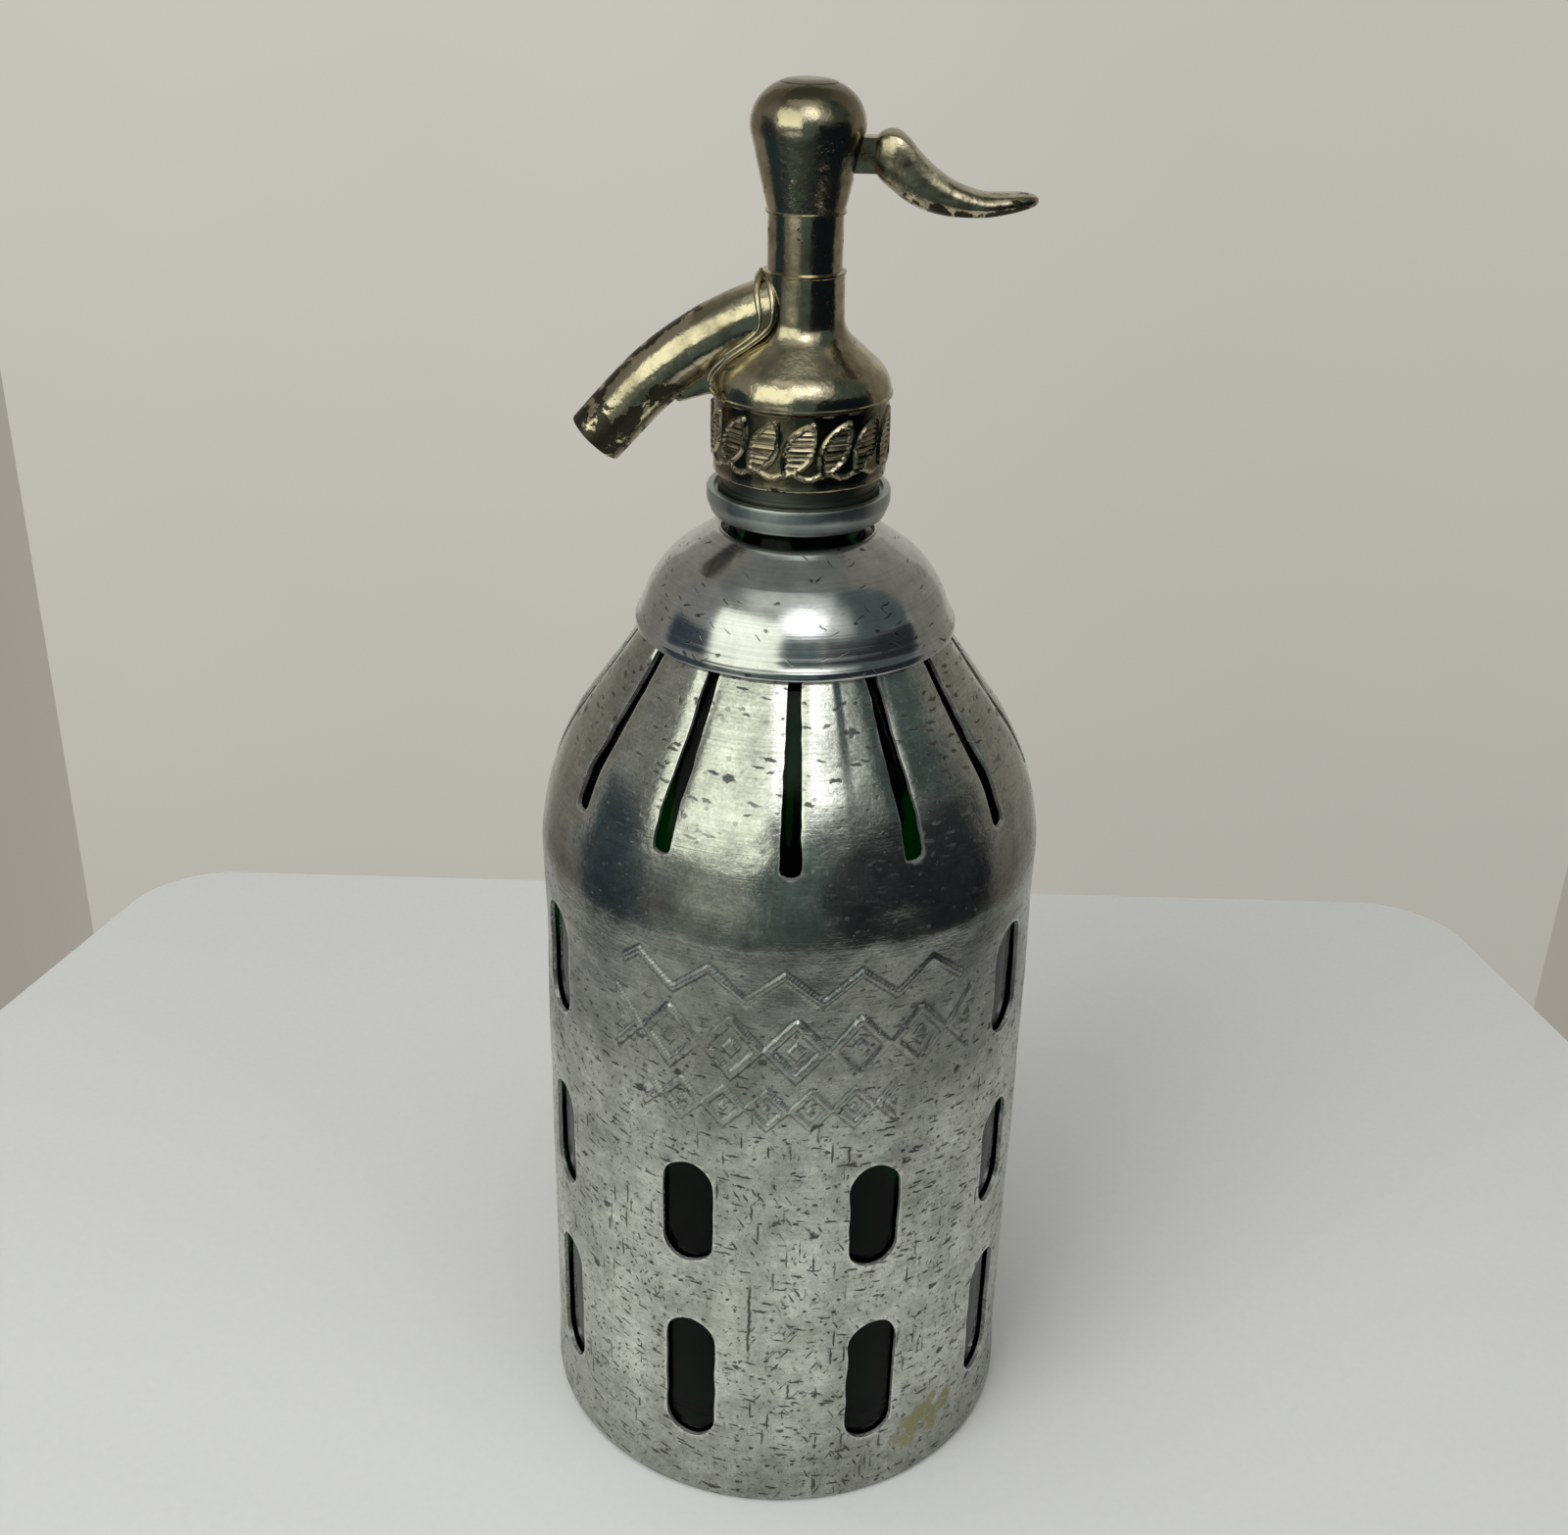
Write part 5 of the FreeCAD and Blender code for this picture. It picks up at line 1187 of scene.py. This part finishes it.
def backdrop(name, wide, high, place, turn, material):
    """An upright wall that only the camera and reflections see."""
    shape = bmesh.new()
    bmesh.ops.create_grid(shape, x_segments=1, y_segments=1, size=0.5)
    bmesh.ops.scale(shape, verts=shape.verts[:], vec=(wide, high, 1))
    swing(shape, "X", 90)
    swing(shape, "Z", turn)
    slide(shape, place)
    surround(name, shape, material, True)


class SIPHON_OT_stage(bpy.types.Operator):
    """Adds the table, the walls, the lights and the camera"""

    bl_idname = "siphon.stage"
    bl_label = "Stage"

    def execute(self, context):
        colours = context.scene.siphon_colours
        top = plate(TABLE, TABLE_DEPTH, every(60), "XY")
        slide(top, (0, 0, -TABLE_DEPTH / 2 * MM))
        table = to_object("table_top", top)
        table.data.materials.append(painted("matte_white_laminate", colours.table, 0.55))
        backdrop("back_wall", 1.324, 4, (0.028, 1.1, 0), 0, wall_tone_with_painted_shade(colours))
        side = side_wall_painted_shade(colours)
        backdrop("left_wall", 0.9, 4, (-0.634, 0.65, 0), 90, side)
        backdrop("right_wall", 0.98, 4, (0.69, 0.61, 0), 90, side)
        card("room_left", 2.2, 2.6, 1.4, -18, -5, colours.room, 0.8)
        card("room_far_left", 1.05, 1.65, 1.36, -83, -12, colours.dark_room, 2.6, 0.2)
        card("room_right", 2.6, 1.9, 1.38, 57, -14, colours.dark_room, 0.7, 0.1)
        card("room_upper_right", 2.0, 1.2, 1.42, 60, 43, colours.room, 0.6)
        card("room_low", 2.6, 0.56, 1.34, -20, -41, colours.dark_room, 1.2, 0.3)
        card("room_patch", 1.2, 0.52, 1.32, -32, -9, linear("#d8dcd0"), 0.88, 0.7)
        card("ceiling_front", 1.9, 0.9, 1.36, -8, 68, linear("#f0f2ea"), 0.85, 0.6)
        card("window", 1.34, 1.0, 1.3, -37.5, 28.5, linear("#fbffee"), 1.75, 0.2)
        card("lamp_halo", 1.7, 1.2, 1.28, 18, 44, linear("#f6faf4"), 1.0, 0.9)
        card("lamp", 1.0, 0.86, 1.25, 9, 47, linear("#ffffff"), 3.2, 0.75, True)
        card("ceiling", 2.4, 2.0, 1.5, 0, 88, linear("#b2b8b2"), 0.36)
        for name, place, size, energy in (
                ("overhead", (-0.2, -0.35, 1.25), 1.2, 9.5), ("key", (-0.7, -0.9, 0.9), 0.8, 10),
                ("fill", (0.9, -0.7, 0.8), 0.8, 2.8)):
            lamp = bpy.data.lights.new(name, "AREA")
            lamp.shape = "SQUARE"
            lamp.size = size
            lamp.energy = energy
            light = bpy.data.objects.new(name, lamp)
            light.location = place
            away = Vector(place) - Vector((0, 0, LIGHT_CENTRE))
            light.rotation_euler = away.to_track_quat("Z", "Y").to_euler()
            light.visible_glossy = False
            context.scene.collection.objects.link(light)
        world = bpy.data.worlds.new("room")
        world.use_nodes = True
        world.node_tree.nodes.clear()
        light = add(world.node_tree, "ShaderNodeBackground", {"Color": linear("#e9e7e2"), "Strength": 0.34})
        add(world.node_tree, "ShaderNodeOutputWorld", {"Surface": light.outputs[0]})
        context.scene.world = world
        camera = bpy.data.cameras.new("camera")
        camera.lens = 42.67
        camera.sensor_fit = "HORIZONTAL"
        camera.sensor_width = 36
        camera.clip_start = 0.01
        view = bpy.data.objects.new("camera", camera)
        turns = (Matrix.Rotation(math.radians(0.2455), 4, "Z") @ Matrix.Rotation(math.radians(63.72), 4, "X")
                 @ Matrix.Rotation(math.radians(1.43), 4, "Z"))
        view.matrix_world = Matrix.Translation((0, -0.34825, 0.3269)) @ turns
        context.scene.collection.objects.link(view)
        context.scene.camera = view
        context.scene.view_settings.view_transform = "Standard"
        return {"FINISHED"}


class SIPHON_PT_build(bpy.types.Panel):
    """Lists the siphon's pieces in the sidebar"""

    bl_idname = "SIPHON_PT_build"
    bl_label = "Soda Siphon"
    bl_space_type = "VIEW_3D"
    bl_region_type = "UI"
    bl_category = "Siphon"

    def draw(self, context):
        for operator in OPERATORS:
            self.layout.operator(operator.bl_idname)
        for group in (context.scene.siphon_sizes, context.scene.siphon_colours):
            for name in group.bl_rna.properties.keys():
                if name not in ("rna_type", "name"):
                    self.layout.prop(group, name)


OPERATORS = (SIPHON_OT_stage, SIPHON_OT_jacket, SIPHON_OT_cap, SIPHON_OT_bottle, SIPHON_OT_neck_ring,
             SIPHON_OT_head, SIPHON_OT_lever, SIPHON_OT_inner_parts)
CLASSES = (SiphonSizes, SiphonColours, *OPERATORS, SIPHON_PT_build)


def register():
    # without a seed the vector noise follows the clock, and no two runs build the same shapes
    noise.seed_set(1)
    for each in CLASSES:
        bpy.utils.register_class(each)
    bpy.types.Scene.siphon_sizes = bpy.props.PointerProperty(type=SiphonSizes)
    bpy.types.Scene.siphon_colours = bpy.props.PointerProperty(type=SiphonColours)


def unregister():
    del bpy.types.Scene.siphon_colours
    del bpy.types.Scene.siphon_sizes
    for each in reversed(CLASSES):
        bpy.utils.unregister_class(each)


def main():
    """Registers the add-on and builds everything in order."""
    register()
    bpy.ops.siphon.stage()
    bpy.ops.siphon.jacket()
    bpy.ops.siphon.cap()
    bpy.ops.siphon.bottle()
    bpy.ops.siphon.neck_ring()
    bpy.ops.siphon.head()
    bpy.ops.siphon.lever()
    bpy.ops.siphon.inner_parts()


if __name__ == "__main__":
    main()
